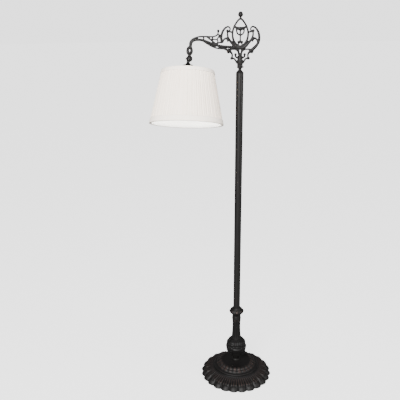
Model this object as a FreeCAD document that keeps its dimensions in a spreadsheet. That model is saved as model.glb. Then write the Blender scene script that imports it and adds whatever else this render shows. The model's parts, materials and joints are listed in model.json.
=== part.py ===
import FreeCAD, Part
import Sketcher
import math
import os

# Bridge floor lamp: a weighted scalloped base, a stack of cast ornaments and a steel tube, an
# openwork bridge casting that turns on the top of the tube, and a pleated shade on a swivel.
# Lengths are in millimetres. The origin is on the floor, on the tube's axis; +Z is up, the
# bridge reaches along -X and the shade opens a little towards -Y.

Vector = FreeCAD.Vector
doc = FreeCAD.newDocument("BridgeLamp")
sheet = doc.addObject("Spreadsheet::Sheet", "Sizes")
nodes = []


class Size:
    # a number from the sheet together with the expression that gives it
    def __init__(self, value, text):
        self.value = float(value)
        self.text = text

    def __add__(self, other):
        return combine(self, "+", other)

    def __radd__(self, other):
        return combine(other, "+", self)

    def __sub__(self, other):
        return combine(self, "-", other)

    def __rsub__(self, other):
        return combine(other, "-", self)

    def __mul__(self, other):
        return combine(self, "*", other)

    def __rmul__(self, other):
        return combine(other, "*", self)

    def __truediv__(self, other):
        return combine(self, "/", other)

    def __neg__(self):
        return combine(0.0, "-", self)


def valueOf(item):
    return item.value if isinstance(item, Size) else float(item)


def textOf(item):
    return item.text if isinstance(item, Size) else repr(float(item))


def combine(left, sign, right):
    a, b = valueOf(left), valueOf(right)
    result = {"+": a + b, "-": a - b, "*": a * b}.get(sign)
    if sign == "/":
        result = a / b
    return Size(result, "(%s %s %s)" % (textOf(left), sign, textOf(right)))


sheetRows = []


def size(alias, value, meaning):
    sheetRows.append(alias)
    row = len(sheetRows)
    sheet.set("A%d" % row, meaning)
    sheet.set("B%d" % row, str(value))
    sheet.setAlias("B%d" % row, alias)
    sheet.recompute()
    return Size(sheet.get(alias), "Sizes." + alias)


# driving sizes

# floor and base
feltThickness = size("feltThickness", 2, "felt pad under the base")
baseRadius = size("baseRadius", 157.5, "base, to the tips of the scallops")
baseLobes = size("baseLobes", 24, "scallops round the base")
lobeDepth = size("lobeDepth", 5, "scallop valleys inside the tips")
baseHeight = size("baseHeight", 70, "top of the base casting above the floor")
baseWall = size("baseWall", 6, "wall of the base casting")
rimHeight = size("rimHeight", 4, "rim edge above the felt")
dishRise = size("dishRise", 21, "fluted dish, rise of its outer curve")
tierRadius = size("tierRadius", 99.5, "raised ring in the middle of the base")
tierTop = size("tierTop", 51, "top of the raised ring above the floor")
tierFace = size("tierFace", 9, "upright face of the raised ring")
eggOuter = size("eggOuter", 86.5, "egg moulding, outer radius")
eggInner = size("eggInner", 65, "egg moulding, inner radius")
fluteRadius = size("fluteRadius", 9, "hollow of a flute at the rim")
weightRadius = size("weightRadius", 86, "iron weight inside the base")
weightHeight = size("weightHeight", 24, "iron weight, thickness")
nutFlats = size("nutFlats", 17, "pipe nut across its flats")
nutHeight = size("nutHeight", 6, "pipe nut, height")
washerRadius = size("washerRadius", 16, "washer under the weight")
washerThickness = size("washerThickness", 2, "washer, thickness")
bushingRadius = size("bushingRadius", 4.2, "lead bushing, barrel radius")
bushingBore = size("bushingBore", 3, "lead bushing, bore radius")
bushingFlange = size("bushingFlange", 6.5, "lead bushing, flange radius")

# pipe, tube and the cast ornaments of the foot
pipeRadius = size("pipeRadius", 4.85, "threaded pipe through the stack")
pipeBore = size("pipeBore", 3.4, "bore of the threaded pipe")
pipeClearance = size("pipeClearance", 0.25, "room round the pipe in the castings")
spoolHeight = size("spoolHeight", 38, "spool under the urn")
spoolFoot = size("spoolFoot", 18, "spool, radius of its collar")
spoolWaist = size("spoolWaist", 14.5, "spool, least radius")
spoolTop = size("spoolTop", 24, "spool, radius under the urn")
urnHeight = size("urnHeight", 75, "urn casting")
urnRadius = size("urnRadius", 44.4, "urn, widest radius")
urnFoot = size("urnFoot", 37, "urn, radius of its flat underside")
urnShoulder = size("urnShoulder", 36.5, "urn, radius of its shoulder")
urnFlutes = size("urnFlutes", 16, "lobes round the urn")
stemHeight = size("stemHeight", 117, "fluted stem above the urn")
stemFoot = size("stemFoot", 20.5, "stem, radius at its foot")
stemWaist = size("stemWaist", 15.6, "stem, least radius")
stemTop = size("stemTop", 19.6, "stem, radius under the knop")
stemFlutes = size("stemFlutes", 12, "flutes round the stem")
knopHeight = size("knopHeight", 42, "knop under the tube")
knopRadius = size("knopRadius", 30.3, "knop, widest radius")
knopTop = size("knopTop", 17, "knop, radius under the tube")
tubeRadius = size("tubeRadius", 15, "pole tube, outer radius")
tubeWall = size("tubeWall", 1.2, "pole tube, wall")
tubeLength = size("tubeLength", 1028, "pole tube, length")
capHeight = size("capHeight", 14, "conical cap on the tube")
capWaist = size("capWaist", 6.6, "narrow neck above the cap")
capSpigot = size("capSpigot", 12, "cap, depth inside the tube")

# bridge casting
runningFit = size("runningFit", 0.06, "radial play of the turning fits")
cupBelow = size("cupBelow", 12, "cup of the bridge, below its datum")
cupRise = size("cupRise", 40, "cup of the bridge, above its datum")
cupRadius = size("cupRadius", 12.2, "cup of the bridge, radius")
lyreHalf = size("lyreHalf", 75, "openwork, half of its width")
lyreHeight = size("lyreHeight", 175, "openwork, height to the tip of its oval")
armReach = size("armReach", 197, "tube axis to swivel centre")
armHeight = size("armHeight", 111, "top of the bridge arm above the casting's datum")
swivelDrop = size("swivelDrop", 26, "swivel centre above the casting's datum")
castDepth = size("castDepth", 7, "openwork, depth of the casting")
strand = size("strand", 6.2, "openwork, width of a strand")
conduitRadius = size("conduitRadius", 4.8, "wire channel along the arm")
loopWidth = size("loopWidth", 22.8, "oval eye at the end of the arm, width")
loopHeight = size("loopHeight", 34, "oval eye, height")
eyeWidth = size("eyeWidth", 7.6, "hole in the oval eye, width")
eyeHeight = size("eyeHeight", 12, "hole in the oval eye, height")
finialRadius = size("finialRadius", 9.7, "finial ball, radius")
finialHeight = size("finialHeight", 25, "finial, height")
finialFoot = size("finialFoot", 4.5, "finial, radius of its foot")
lockScrewRadius = size("lockScrewRadius", 2, "lock screw in the cup")
poleFlat = size("poleFlat", 0.4, "small flat in the middle of a domed end, radius")

# swivel
ballRadius = size("ballRadius", 12.2, "swivel ball")
neckRadius = size("neckRadius", 6, "swivel necks")
neckLength = size("neckLength", 4.4, "swivel necks beyond the ball")
headOffset = size("headOffset", 4.6, "lamp holder axis beside the swivel centre")
swivelGap = size("swivelGap", 0.4, "room between a swivel half and the other neck")
swivelPin = size("swivelPin", 2.5, "swivel screw, radius")
restTilt = size("restTilt", 16.2, "tilt of the shade at rest, in degrees")
headLean = size("headLean", 2.2, "sideways lean of the swivel, in degrees")

# lamp holder
holderTop = size("holderTop", 16.6, "top of the bell cap below the swivel centre")
bellHeight = size("bellHeight", 11.5, "bell cap, height")
bellRadius = size("bellRadius", 20, "bell cap, mouth radius")
shellRadius = size("shellRadius", 15, "holder shell, radius")
skirtRadius = size("skirtRadius", 18.2, "holder shell, radius of its threaded skirt")
shellWall = size("shellWall", 0.8, "holder shell, wall")
shellLength = size("shellLength", 46, "holder shell, length")
shoulderDepth = size("shoulderDepth", 26, "shade shoulder below the top of the shell")
shoulderRadius = size("shoulderRadius", 20.5, "shade shoulder, radius")
linerWall = size("linerWall", 0.6, "fibre liner, wall")
screwShellBore = size("screwShellBore", 13.1, "screw shell for the bulb, inner radius")
bulbRadius = size("bulbRadius", 30, "bulb, widest radius")
bulbLength = size("bulbLength", 105, "bulb, length with its cap")
keyShaft = size("keyShaft", 1.8, "switch key, shaft radius")
keyLength = size("keyLength", 17, "switch key, length outside the shell")
keyDepth = size("keyDepth", 14, "switch key below the top of the shell")

# shade
shadeTop = size("shadeTop", 47.5, "shade's upper edge below the swivel centre")
shadeHeight = size("shadeHeight", 207.5, "shade, height")
shadeTopRadius = size("shadeTopRadius", 103.5, "shade, upper radius")
shadeRadius = size("shadeRadius", 145.6, "shade, lower radius")
pleats = size("pleats", 44, "wide pleats round the shade, each with a shallow one beside it")
pleatDepth = size("pleatDepth", 2.4, "pleats, depth")
lowPleat = size("lowPleat", 0.8, "depth of the shallow fold beside each pleat")
clothWall = size("clothWall", 1, "pleated cover, thickness")
liningWall = size("liningWall", 0.8, "lining, thickness")
trimWall = size("trimWall", 0.8, "edge braid, thickness")
topTrimHeight = size("topTrimHeight", 15, "upper braid, height")
lowTrimHeight = size("lowTrimHeight", 22, "lower braid, height")
wireRadius = size("wireRadius", 1.5, "shade frame wire")
ribCount = size("ribCount", 6, "upright wires of the shade frame")
fitterRadius = size("fitterRadius", 24.5, "fitter ring, outer radius")
fitterWall = size("fitterWall", 1.6, "fitter ring, thickness")
lockRingHeight = size("lockRingHeight", 5, "ring that clamps the fitter")
slipFit = size("slipFit", 0.3, "room between pieces that slip together")

# levels of the stack

spoolLevel = baseHeight
urnLevel = spoolLevel + spoolHeight
stemLevel = urnLevel + urnHeight
knopLevel = stemLevel + stemHeight
tubeLevel = knopLevel + knopHeight
tubeEnd = tubeLevel + tubeLength
neckTop = tubeEnd + capHeight + 4.5
datum = neckTop + cupBelow
ballLevel = datum + swivelDrop
finialSeat = datum + lyreHeight - 1
boreRadius = pipeRadius + pipeClearance


# helpers

def keep(label, feature):
    feature.Label = label
    nodes.append(feature)
    return feature


def originFeature(body, role):
    return [item for item in body.Origin.OriginFeatures if item.Role == role][0]


def newSketch(body, role, name):
    sketch = body.newObject("Sketcher::SketchObject", name)
    sketch.AttachmentSupport = [(originFeature(body, role), "")]
    sketch.MapMode = "FlatFace"
    return sketch


def tie(sketch, kind, parts, item):
    # a dimension whose value follows the sheet
    index = sketch.addConstraint(Sketcher.Constraint(kind, *parts, valueOf(item)))
    if isinstance(item, Size):
        sketch.setExpression("Constraints[%d]" % index, item.text)


def drawLoop(sketch, corners):
    # a closed loop through corners (x, y) or (x, y, sagitta of the arc to the next corner);
    # a positive sagitta bulges to the right of the way along
    ends = []
    count = len(corners)
    for index, corner in enumerate(corners):
        here = Vector(valueOf(corner[0]), valueOf(corner[1]), 0)
        follow = corners[(index + 1) % count]
        there = Vector(valueOf(follow[0]), valueOf(follow[1]), 0)
        bulge = corner[2] if len(corner) > 2 else None
        if bulge is None:
            edge = sketch.addGeometry(Part.LineSegment(here, there), False)
            ends.append((edge, 1, 2))
            continue
        along = there - here
        side = Vector(along.y, -along.x, 0).normalize()
        middle = (here + there) * 0.5 + side * valueOf(bulge)
        if valueOf(bulge) > 0:
            edge = sketch.addGeometry(Part.Arc(here, middle, there), False)
            ends.append((edge, 1, 2))
        else:
            edge = sketch.addGeometry(Part.Arc(there, middle, here), False)
            ends.append((edge, 2, 1))
    for index in range(count):
        edge, start, _ = ends[index]
        before, _, stop = ends[index - 1]
        sketch.addConstraint(Sketcher.Constraint("Coincident", before, stop, edge, start))
    for index, corner in enumerate(corners):
        edge, start, stop = ends[index]
        for kind, axis, place in (("DistanceX", -2, corner[0]), ("DistanceY", -1, corner[1])):
            if abs(valueOf(place)) < 1e-9:
                sketch.addConstraint(Sketcher.Constraint("PointOnObject", edge, start, axis))
            else:
                tie(sketch, kind, (-1, 1, edge, start), place)
        if len(corner) > 2:
            follow = corners[(index + 1) % count]
            run = follow[0] - corner[0]
            rise = follow[1] - corner[1]
            height = corner[2] if valueOf(corner[2]) > 0 else 0 - corner[2]
            tie(sketch, "Radius", (edge,), (run * run + rise * rise) / (8 * height) + height / 2)


def turned(label, corners, level=None):
    # a body of revolution about Z; corners are (radius, height)
    body = doc.addObject("PartDesign::Body", label)
    sketch = newSketch(body, "XZ_Plane", label + "Profile")
    drawLoop(sketch, corners)
    feature = body.newObject("PartDesign::Revolution", label + "Turned")
    feature.Profile = sketch
    feature.ReferenceAxis = (sketch, ["V_Axis"])
    feature.Angle = 360
    sketch.Visibility = False
    doc.recompute()
    body.Tip = feature
    if level is not None:
        body.Placement.Base.z = valueOf(level)
        body.setExpression(".Placement.Base.z", textOf(level))
    return body


def cutRound(body, name, radius, height, place, occurrences=None, tip=None):
    # a round cutter, a cylinder or with a tip radius a cone, repeated round Z
    kind = "PartDesign::SubtractiveCylinder" if tip is None else "PartDesign::SubtractiveCone"
    cutter = body.newObject(kind, name)
    bindings = {"Height": height}
    if tip is None:
        bindings["Radius"] = radius
    else:
        bindings["Radius1"] = radius
        bindings["Radius2"] = tip
    for field, item in bindings.items():
        setattr(cutter, field, valueOf(item))
        if isinstance(item, Size):
            cutter.setExpression(field, item.text)
    cutter.AttachmentSupport = [(originFeature(body, "XY_Plane"), "")]
    cutter.MapMode = "FlatFace"
    cutter.AttachmentOffset = place
    doc.recompute()
    body.Tip = cutter
    if occurrences is None:
        return cutter
    pattern = body.newObject("PartDesign::PolarPattern", name + "Ring")
    pattern.Originals = [cutter]
    pattern.Axis = (originFeature(body, "Z_Axis"), [""])
    pattern.Angle = 360
    pattern.Occurrences = int(valueOf(occurrences))
    if isinstance(occurrences, Size):
        pattern.setExpression("Occurrences", occurrences.text)
    body.Tip = pattern
    doc.recompute()
    return pattern


def aimed(start, end):
    # a placement at start whose Z axis points to end
    return FreeCAD.Placement(start, FreeCAD.Rotation(Vector(0, 0, 1), end - start))


def solidNode(label, shape, placement=None):
    feature = doc.addObject("Part::Feature", label)
    feature.Shape = shape
    if placement is not None:
        feature.Placement = placement
    return keep(label, feature)


# base

def makeFelt():
    body = doc.addObject("PartDesign::Body", "base_felt")
    sketch = newSketch(body, "XY_Plane", "feltOutline")
    circle = sketch.addGeometry(Part.Circle(Vector(0, 0, 0), Vector(0, 0, 1), 140), False)
    sketch.addConstraint(Sketcher.Constraint("Coincident", circle, 3, -1, 1))
    tie(sketch, "Radius", (circle,), baseRadius - lobeDepth - 4)
    pad = body.newObject("PartDesign::Pad", "feltPad")
    pad.Profile = sketch
    pad.setExpression("Length", feltThickness.text)
    doc.recompute()
    keep("base_felt", body)


def makeBase():
    floor = feltThickness
    rim = baseRadius
    rimEdge = floor + rimHeight
    dish = rimEdge + dishRise
    tierFoot = tierTop - tierFace
    inner = baseRadius - lobeDepth - baseWall
    ceiling = tierTop + 7
    body = turned("base_turned", [
        (boreRadius, ceiling),
        (eggInner - 4, ceiling),
        (tierRadius - baseWall, tierTop - baseWall),
        (tierRadius - baseWall, tierFoot - baseWall + 2),
        (rim * 0.84, dish - baseWall - 1),
        (inner, rimEdge + 3),
        (inner, floor),
        (rim - 3.5, floor, 0.8),
        (rim + 1, rimEdge, 4.6),
        (rim * 0.865, dish, -1.8),
        (tierRadius + 3, tierFoot - 0.5),
        (tierRadius, tierFoot),
        (tierRadius, tierTop - 3, 0.9),
        (tierRadius - 3.5, tierTop),
        (eggOuter + 2, tierTop + 2),
        (eggOuter, tierTop + 5, 3.4),
        (eggInner, baseHeight - 2),
        (eggInner - 3, baseHeight - 4, -1.2),
        (spoolFoot + 5, baseHeight - 2),
        (spoolFoot + 1, baseHeight),
        (boreRadius, baseHeight)])
    valley = Vector(valueOf(tierRadius) + 7, 0, valueOf(tierFoot) + 1.0)
    mouth = Vector(valueOf(rim) + 9, 0, valueOf(rimEdge) + 6.5)
    cutRound(body, "flute", 1.6, (mouth - valley).Length, aimed(valley, mouth), baseLobes,
             tip=fluteRadius)
    eggStart = Vector(valueOf(eggInner) - 6, 0, valueOf(baseHeight) + 3.2)
    eggEnd = Vector(valueOf(eggOuter) + 4, 0, valueOf(tierTop) + 6.2)
    cutRound(body, "eggGap", 3.2, (eggEnd - eggStart).Length, aimed(eggStart, eggEnd), baseLobes)
    gap = bushingRadius + slipFit
    start = leadWay() * valueOf(inner - 8) + Vector(0, 0, valueOf(leadLevel))
    cutRound(body, "leadHole", gap, 30, aimed(start, start + leadWay()))
    # the scalloped outline: one arc for each lobe, with the valleys on the axes
    count = int(baseLobes.value)
    inside = rim.value - lobeDepth.value
    arcs = []
    for index in range(count):
        angles = [2 * math.pi * (index + part) / count for part in (0, 0.5, 1)]
        radii = (inside, rim.value, inside)
        points = [Vector(r * math.cos(a), r * math.sin(a), 0) for r, a in zip(radii, angles)]
        arcs.append(Part.Arc(*points).toShape())
    outline = doc.addObject("Part::Feature", "lobedOutline")
    outline.Shape = Part.Face(Part.Wire(arcs)).extrude(Vector(0, 0, baseHeight.value + 10))
    base = doc.addObject("Part::Common", "base_casting")
    base.Base = body
    base.Tool = outline
    doc.recompute()
    keep("base_casting", base)


leadLevel = feltThickness + rimHeight + 4.5


def leadWay():
    # outwards through the middle of the lobe beside the back of the base
    angle = math.pi / 2 + math.pi / baseLobes.value
    return Vector(math.cos(angle), math.sin(angle), 0)


def makeBushing():
    # a flanged bushing for the lead, in the back wall of the base
    wallFace = baseRadius - lobeDepth - baseWall
    barrel = lobeDepth + baseWall + 1.3
    body = turned("cord_bushing", [
        (bushingBore, 0),
        (bushingRadius, 0),
        (bushingRadius, barrel),
        (bushingFlange, barrel),
        (bushingFlange - 1, barrel + 2.5),
        (bushingBore + 0.8, barrel + 2.5),
        (bushingBore, barrel + 1.5)])
    start = leadWay() * valueOf(wallFace - 1) + Vector(0, 0, valueOf(leadLevel))
    body.Placement = aimed(start, start + leadWay())
    keep("cord_bushing", body)


def makeBallast():
    # a stepped iron disc, drawn up against the casting by the nut on the pipe
    ceiling = tierTop + 7
    low = ceiling - 20 - weightHeight
    keep("base_weight", turned("base_weight", [
        (boreRadius, 0),
        (weightRadius, 0),
        (weightRadius, weightHeight - 4),
        (weightRadius - 4, weightHeight),
        (weightRadius * 0.45, weightHeight),
        (weightRadius * 0.4, weightHeight + 20),
        (boreRadius, weightHeight + 20)], low))
    keep("base_washer", turned("base_washer", [
        (boreRadius, 0),
        (washerRadius, 0),
        (washerRadius, washerThickness),
        (boreRadius, washerThickness)], low - washerThickness))
    body = doc.addObject("PartDesign::Body", "base_nut")
    sketch = newSketch(body, "XY_Plane", "nutOutline")
    corner = nutFlats / math.sqrt(3)
    half = nutFlats / 2
    drawLoop(sketch, [
        (corner, 0), (corner / 2, half), (0 - corner / 2, half),
        (0 - corner, 0), (0 - corner / 2, 0 - half), (corner / 2, 0 - half)])
    bore = sketch.addGeometry(Part.Circle(Vector(0, 0, 0), Vector(0, 0, 1), 5), False)
    sketch.addConstraint(Sketcher.Constraint("Coincident", bore, 3, -1, 1))
    tie(sketch, "Radius", (bore,), pipeRadius + runningFit)
    pad = body.newObject("PartDesign::Pad", "nutPad")
    pad.Profile = sketch
    pad.setExpression("Length", nutHeight.text)
    body.Placement.Base.z = valueOf(low - washerThickness - nutHeight)
    body.setExpression(".Placement.Base.z", textOf(low - washerThickness - nutHeight))
    doc.recompute()
    keep("base_nut", body)
    return low - washerThickness - nutHeight


# foot ornaments, pipe and tube

def makeFoot():
    keep("spool_neck", turned("spool_neck", [
        (boreRadius, 0),
        (spoolFoot, 0),
        (spoolFoot, 3, 1.4),
        (spoolFoot - 2.5, 6.5),
        (spoolWaist, 8, -2.2),
        (spoolTop, spoolHeight - 2),
        (spoolTop, spoolHeight),
        (boreRadius, spoolHeight)], spoolLevel))
    urn = turned("urn_casting", [
        (boreRadius, 0),
        (urnFoot, 0),
        (urnRadius, 25, 0.8),
        (urnRadius - 1, 38),
        (urnRadius - 2.2, 40),
        (urnRadius - 2, 42, 0.5),
        (urnRadius - 4, 52),
        (urnRadius - 5.5, 54),
        (urnRadius - 5, 56, 1.4),
        (urnShoulder, urnHeight - 9, 2.6),
        (stemFoot + 4, urnHeight - 2.5),
        (stemFoot + 1.5, urnHeight),
        (boreRadius, urnHeight)], urnLevel)
    gap = Vector(valueOf(urnRadius) + 2.6, 0, -1)
    top = Vector(valueOf(urnShoulder) + 4.5, 0, valueOf(urnHeight))
    cutRound(urn, "urnGap", 4.2, (top - gap).Length, aimed(gap, top), urnFlutes)
    keep("urn_casting", urn)
    stem = turned("stem_casting", [
        (boreRadius, 0),
        (stemFoot, 0),
        (stemFoot, 3, -3.4),
        (stemTop - 1.6, stemHeight - 18),
        (stemTop + 1, stemHeight - 16),
        (stemTop + 1, stemHeight - 12),
        (stemTop - 1.4, stemHeight - 10, -0.5),
        (stemTop, stemHeight - 2),
        (stemTop, stemHeight),
        (boreRadius, stemHeight)], stemLevel)
    low = Vector(valueOf(stemFoot) + 1.4, 0, -1)
    mid = Vector(valueOf(stemWaist) + 1.1, 0, valueOf(stemHeight) * 0.62)
    cutRound(stem, "stemFlute", 2.6, (mid - low).Length, aimed(low, mid), stemFlutes, tip=1.5)
    keep("stem_casting", stem)
    keep("knop_ring", turned("knop_ring", [
        (boreRadius, 0),
        (stemTop + 0.6, 0),
        (stemTop + 2.4, 2.4),
        (knopRadius - 1.5, knopHeight * 0.43, 0.9),
        (knopRadius - 1.5, knopHeight * 0.62, 0.9),
        (knopTop + 2, knopHeight - 4),
        (knopTop, knopHeight - 2.5),
        (knopTop, knopHeight),
        (boreRadius, knopHeight)], knopLevel))


def makeTube(pipeFoot):
    body = doc.addObject("PartDesign::Body", "pole_tube")
    sketch = newSketch(body, "XY_Plane", "tubeSection")
    for radius in (tubeRadius, tubeRadius - tubeWall):
        circle = sketch.addGeometry(
            Part.Circle(Vector(0, 0, 0), Vector(0, 0, 1), valueOf(radius)), False)
        sketch.addConstraint(Sketcher.Constraint("Coincident", circle, 3, -1, 1))
        tie(sketch, "Radius", (circle,), radius)
    pad = body.newObject("PartDesign::Pad", "tubePad")
    pad.Profile = sketch
    pad.setExpression("Length", tubeLength.text)
    body.Placement.Base.z = valueOf(tubeLevel)
    body.setExpression(".Placement.Base.z", tubeLevel.text)
    doc.recompute()
    keep("pole_tube", body)
    spigot = tubeRadius - tubeWall - slipFit
    keep("pole_cap", turned("pole_cap", [
        (pipeRadius + runningFit, 0 - capSpigot),
        (spigot, 0 - capSpigot),
        (spigot, 0),
        (tubeRadius, 0),
        (tubeRadius, 2.5),
        (capWaist + 0.6, capHeight - 2, -1.2),
        (capWaist, capHeight),
        (capWaist, capHeight + 4.5),
        (pipeRadius + runningFit, capHeight + 4.5)], tubeEnd))
    # the pipe runs from the nut to the cup that turns on its end
    low = pipeFoot - 1
    pipe = doc.addObject("Part::Cylinder", "pipeOutside")
    bore = doc.addObject("Part::Cylinder", "pipeInside")
    length = datum + cupRise * 0.45 - low
    for item, radius in ((pipe, pipeRadius), (bore, pipeBore)):
        item.setExpression("Radius", radius.text)
        item.setExpression("Height", length.text)
        item.setExpression(".Placement.Base.z", low.text)
    cut = doc.addObject("Part::Cut", "tie_pipe")
    cut.Base = pipe
    cut.Tool = bore
    doc.recompute()
    keep("tie_pipe", cut)


# bridge casting

def flat(point):
    return Vector(point[0], 0, point[1])


def smooth(points):
    # a smooth curve through the points, in the plane of the casting
    if len(points) == 2:
        return Part.LineSegment(flat(points[0]), flat(points[1]))
    curve = Part.BSplineCurve()
    curve.interpolate([flat(point) for point in points])
    return curve


def strandFace(points, widths, stations=9):
    # a tapering strand along a smooth centre line: its two sides are offset from the line
    centre = smooth(points)
    first, last = centre.FirstParameter, centre.LastParameter
    left, right = [], []
    for step in range(stations):
        share = step / (stations - 1)
        place = share * (len(widths) - 1)
        index = min(int(place), len(widths) - 2)
        half = 0.5 * (widths[index] + (widths[index + 1] - widths[index]) * (place - index))
        at = first + (last - first) * share
        point = centre.value(at)
        along = centre.tangent(at)[0]
        side = Vector(-along.z, 0, along.x).normalize() * half
        left.append(point + side)
        right.append(point - side)
    sides = []
    for row in (left, right):
        curve = Part.BSplineCurve()
        curve.interpolate(row)
        sides.append(curve.toShape())
    outline = [sides[0], Part.makeLine(left[-1], right[-1]), sides[1],
               Part.makeLine(right[0], left[0])]
    return Part.Face(Part.Wire(Part.__sortEdges__(outline)))


def knobFace(place, radius):
    circle = Part.Circle(flat(place), Vector(0, 1, 0), radius)
    return Part.Face(Part.Wire([circle.toShape()]))


# places are shares of the openwork's half width and height, widths shares of a strand
lyreStrands = {
    "ogive": ([(0, 0.992), (0.116, 0.955), (0.22, 0.895), (0.307, 0.833), (0.377, 0.747),
               (0.4, 0.671), (0.379, 0.585), (0.321, 0.513), (0.21, 0.45)], [1, 0.95, 1, 1.3]),
    "inner": ([(0.65, 0.72), (0.655, 0.67), (0.635, 0.61), (0.56, 0.547), (0.42, 0.474),
               (0.257, 0.402), (0.117, 0.372), (0, 0.366)], [0.8, 1, 1.6, 1.6]),
    "leafStem": ([(0.62, 0.568), (0.74, 0.575), (0.84, 0.552), (0.9, 0.495)], [1.5, 1, 0.8]),
    "arch": ([(0.1, 0.3), (0.2, 0.332), (0.352, 0.344), (0.54, 0.334), (0.633, 0.315)],
             [1, 0.8, 1.1]),
    "outer": ([(0.6, 0.33), (0.5, 0.293), (0.417, 0.242), (0.407, 0.193), (0.43, 0.155)],
              [1.5, 1, 0.8]),
    "tail": ([(0.43, 0.152), (0.307, 0.142), (0.224, 0.1), (0.14, 0.045)], [1, 0.9, 1.1]),
    "curl": ([(0.235, 0.228), (0.232, 0.19), (0.165, 0.168), (0.06, 0.175)], [0.9, 0.9, 1.3]),
    "root": ([(0.14, 0.38), (0.09, 0.3), (0.055, 0.235), (0.045, 0.13)], [1.5, 1.1, 1.3]),
    "tie": ([(0.4, 0.7), (0.52, 0.715), (0.64, 0.722)], [0.9, 0.9]),
    "strut": ([(0, 0.51), (0.125, 0.43)], [0.8, 0.8]),
}
ear = [(0.533, 0.745), (0.53, 0.787), (0.607, 0.82), (0.709, 0.812), (0.82, 0.775),
       (0.915, 0.71), (0.965, 0.634), (0.97, 0.55), (0.92, 0.476), (0.816, 0.409),
       (0.699, 0.361), (0.6, 0.32)]
centreStrands = {
    "crescent": ([(-0.3, 0.822), (0, 0.778), (0.3, 0.822)], [0.9, 2.0, 0.9]),
    "ring": ([(-0.2, 0.775), (-0.173, 0.7), (-0.093, 0.659), (0, 0.647), (0.093, 0.659),
              (0.173, 0.7), (0.2, 0.775)], [0.8, 0.8]),
    "post": ([(0, 0.78), (0, 0.5)], [0.75, 0.8]),
    "bar": ([(-0.1, 0.498), (0, 0.51), (0.1, 0.498)], [0.9, 1.2, 0.9]),
    "bowl": ([(-0.25, 0.462), (-0.12, 0.41), (0, 0.398), (0.12, 0.41), (0.25, 0.462)],
             [1.2, 1.6, 1.2]),
}
# scroll ends: place and radius
lyreKnobs = {"scroll": (0.66, 0.735, 0.72), "curl": (0.235, 0.231, 0.7),
             "side": (0.43, 0.15, 0.75), "foot": (0.6, 0.318, 0.9), "bar": (0.1, 0.498, 0.6)}
# leaves: root, heading in degrees, lengths of their fronds as shares of a strand, spread
lyreLeaves = {
    "underScroll": (0.63, 0.565, -86, (1.3, 2.0, 1.1), 30),
    "earFoot": (0.6, 0.31, -72, (1.6, 1.6, 1.3), 34),
    "sideFoot": (0.44, 0.15, -40, (0.8, 0.9, 0.8), 55),
    "earSide": (0.965, 0.52, 205, (1.0, 1.0), 34),
}


def strandFaces(table, at, side=1):
    return [strandFace(at(points, side), [strand.value * share for share in widths])
            for points, widths in table.values()]


def leafFaces(root, heading, fronds, spread):
    # fronds fanned out about the heading, each a short tapering strand
    width = strand.value
    faces = []
    middle = (len(fronds) - 1) / 2
    for index, length in enumerate(fronds):
        turn = math.radians(heading + spread * (index - middle))
        tip = (root[0] + length * width * math.cos(turn), root[1] + length * width * math.sin(turn))
        faces.append(strandFace([root, tip], [0.9 * width, 1.05 * width, 0.5 * width], 3))
    return faces


def lyreFaces():
    # the symmetrical openwork above the cup
    wide, tall, base, width = lyreHalf.value, lyreHeight.value, datum.value, strand.value

    def at(points, side=1):
        return [(side * u * wide, base + v * tall) for u, v in points]

    faces = strandFaces(centreStrands, at)
    for side in (1, -1):
        faces += strandFaces(lyreStrands, at, side)
        # on the arm's side the ear ends against the arm
        reach = ear if side == 1 else ear[:9]
        faces.append(strandFace(at(reach, side), [width * share for share in
                                                  (0.7, 0.9, 1.2, 1.4, 1.9)[:len(reach) // 2]]))
        for u, v, share in lyreKnobs.values():
            faces.append(knobFace(at([(u, v)], side)[0], width * share))
        for u, v, heading, fronds, spread in lyreLeaves.values():
            turn = heading if side == 1 else 180 - heading
            faces += leafFaces(at([(u, v)], side)[0], turn, fronds, spread * side)
    return faces


# places are shares of the arm's reach and height, widths shares of a strand
armStrands = {
    "topRail": ([(0.985, 0.66), (0.98, 0.77), (0.951, 0.862), (0.9, 0.92), (0.838, 0.957),
                 (0.78, 0.975), (0.673, 0.975), (0.552, 0.968), (0.485, 0.99), (0.442, 1.045),
                 (0.43, 1.13)], [1.1, 0.85, 0.8, 0.75]),
    "lowRail": ([(0.72, 0.815), (0.62, 0.707), (0.56, 0.65), (0.467, 0.588), (0.396, 0.568),
                 (0.315, 0.563), (0.245, 0.51)], [0.7, 0.8, 0.8, 1.2]),
    "midRail": ([(0.62, 0.892), (0.543, 0.881), (0.457, 0.869), (0.439, 0.811),
                 (0.457, 0.748), (0.49, 0.71)], [0.65, 0.75]),
    "diagonal": ([(0.655, 0.965), (0.6, 0.9), (0.548, 0.829), (0.497, 0.748),
                  (0.447, 0.69)], [0.7, 1.1]),
    "spurFork": ([(0.417, 1.045), (0.4, 0.96), (0.375, 0.9)], [0.9, 0.8]),
    "spurRoot": ([(0.411, 0.99), (0.442, 0.91), (0.452, 0.86)], [0.8, 0.65]),
    "strutA": ([(0.72, 0.98), (0.71, 0.85)], [0.8, 0.8]),
    "strutB": ([(0.543, 0.97), (0.543, 0.885)], [0.7, 0.7]),
    "strutC": ([(0.56, 0.73), (0.552, 0.64)], [0.7, 0.7]),
    "strutD": ([(0.493, 0.69), (0.497, 0.6)], [0.8, 0.8]),
    "strutE": ([(0.401, 0.67), (0.406, 0.57)], [0.8, 0.8]),
    "strutF": ([(0.477, 0.73), (0.36, 0.79)], [0.8, 0.8]),
}
spurKnob = (0.431, 1.16, 0.66)
conduitRoute = [(0.0, 0.58), (0.15, 0.61), (0.31, 0.635), (0.373, 0.65), (0.465, 0.68),
                (0.556, 0.735), (0.647, 0.8), (0.738, 0.85), (0.823, 0.872), (0.902, 0.855),
                (0.95, 0.79), (0.966, 0.7), (0.968, 0.62)]


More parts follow.
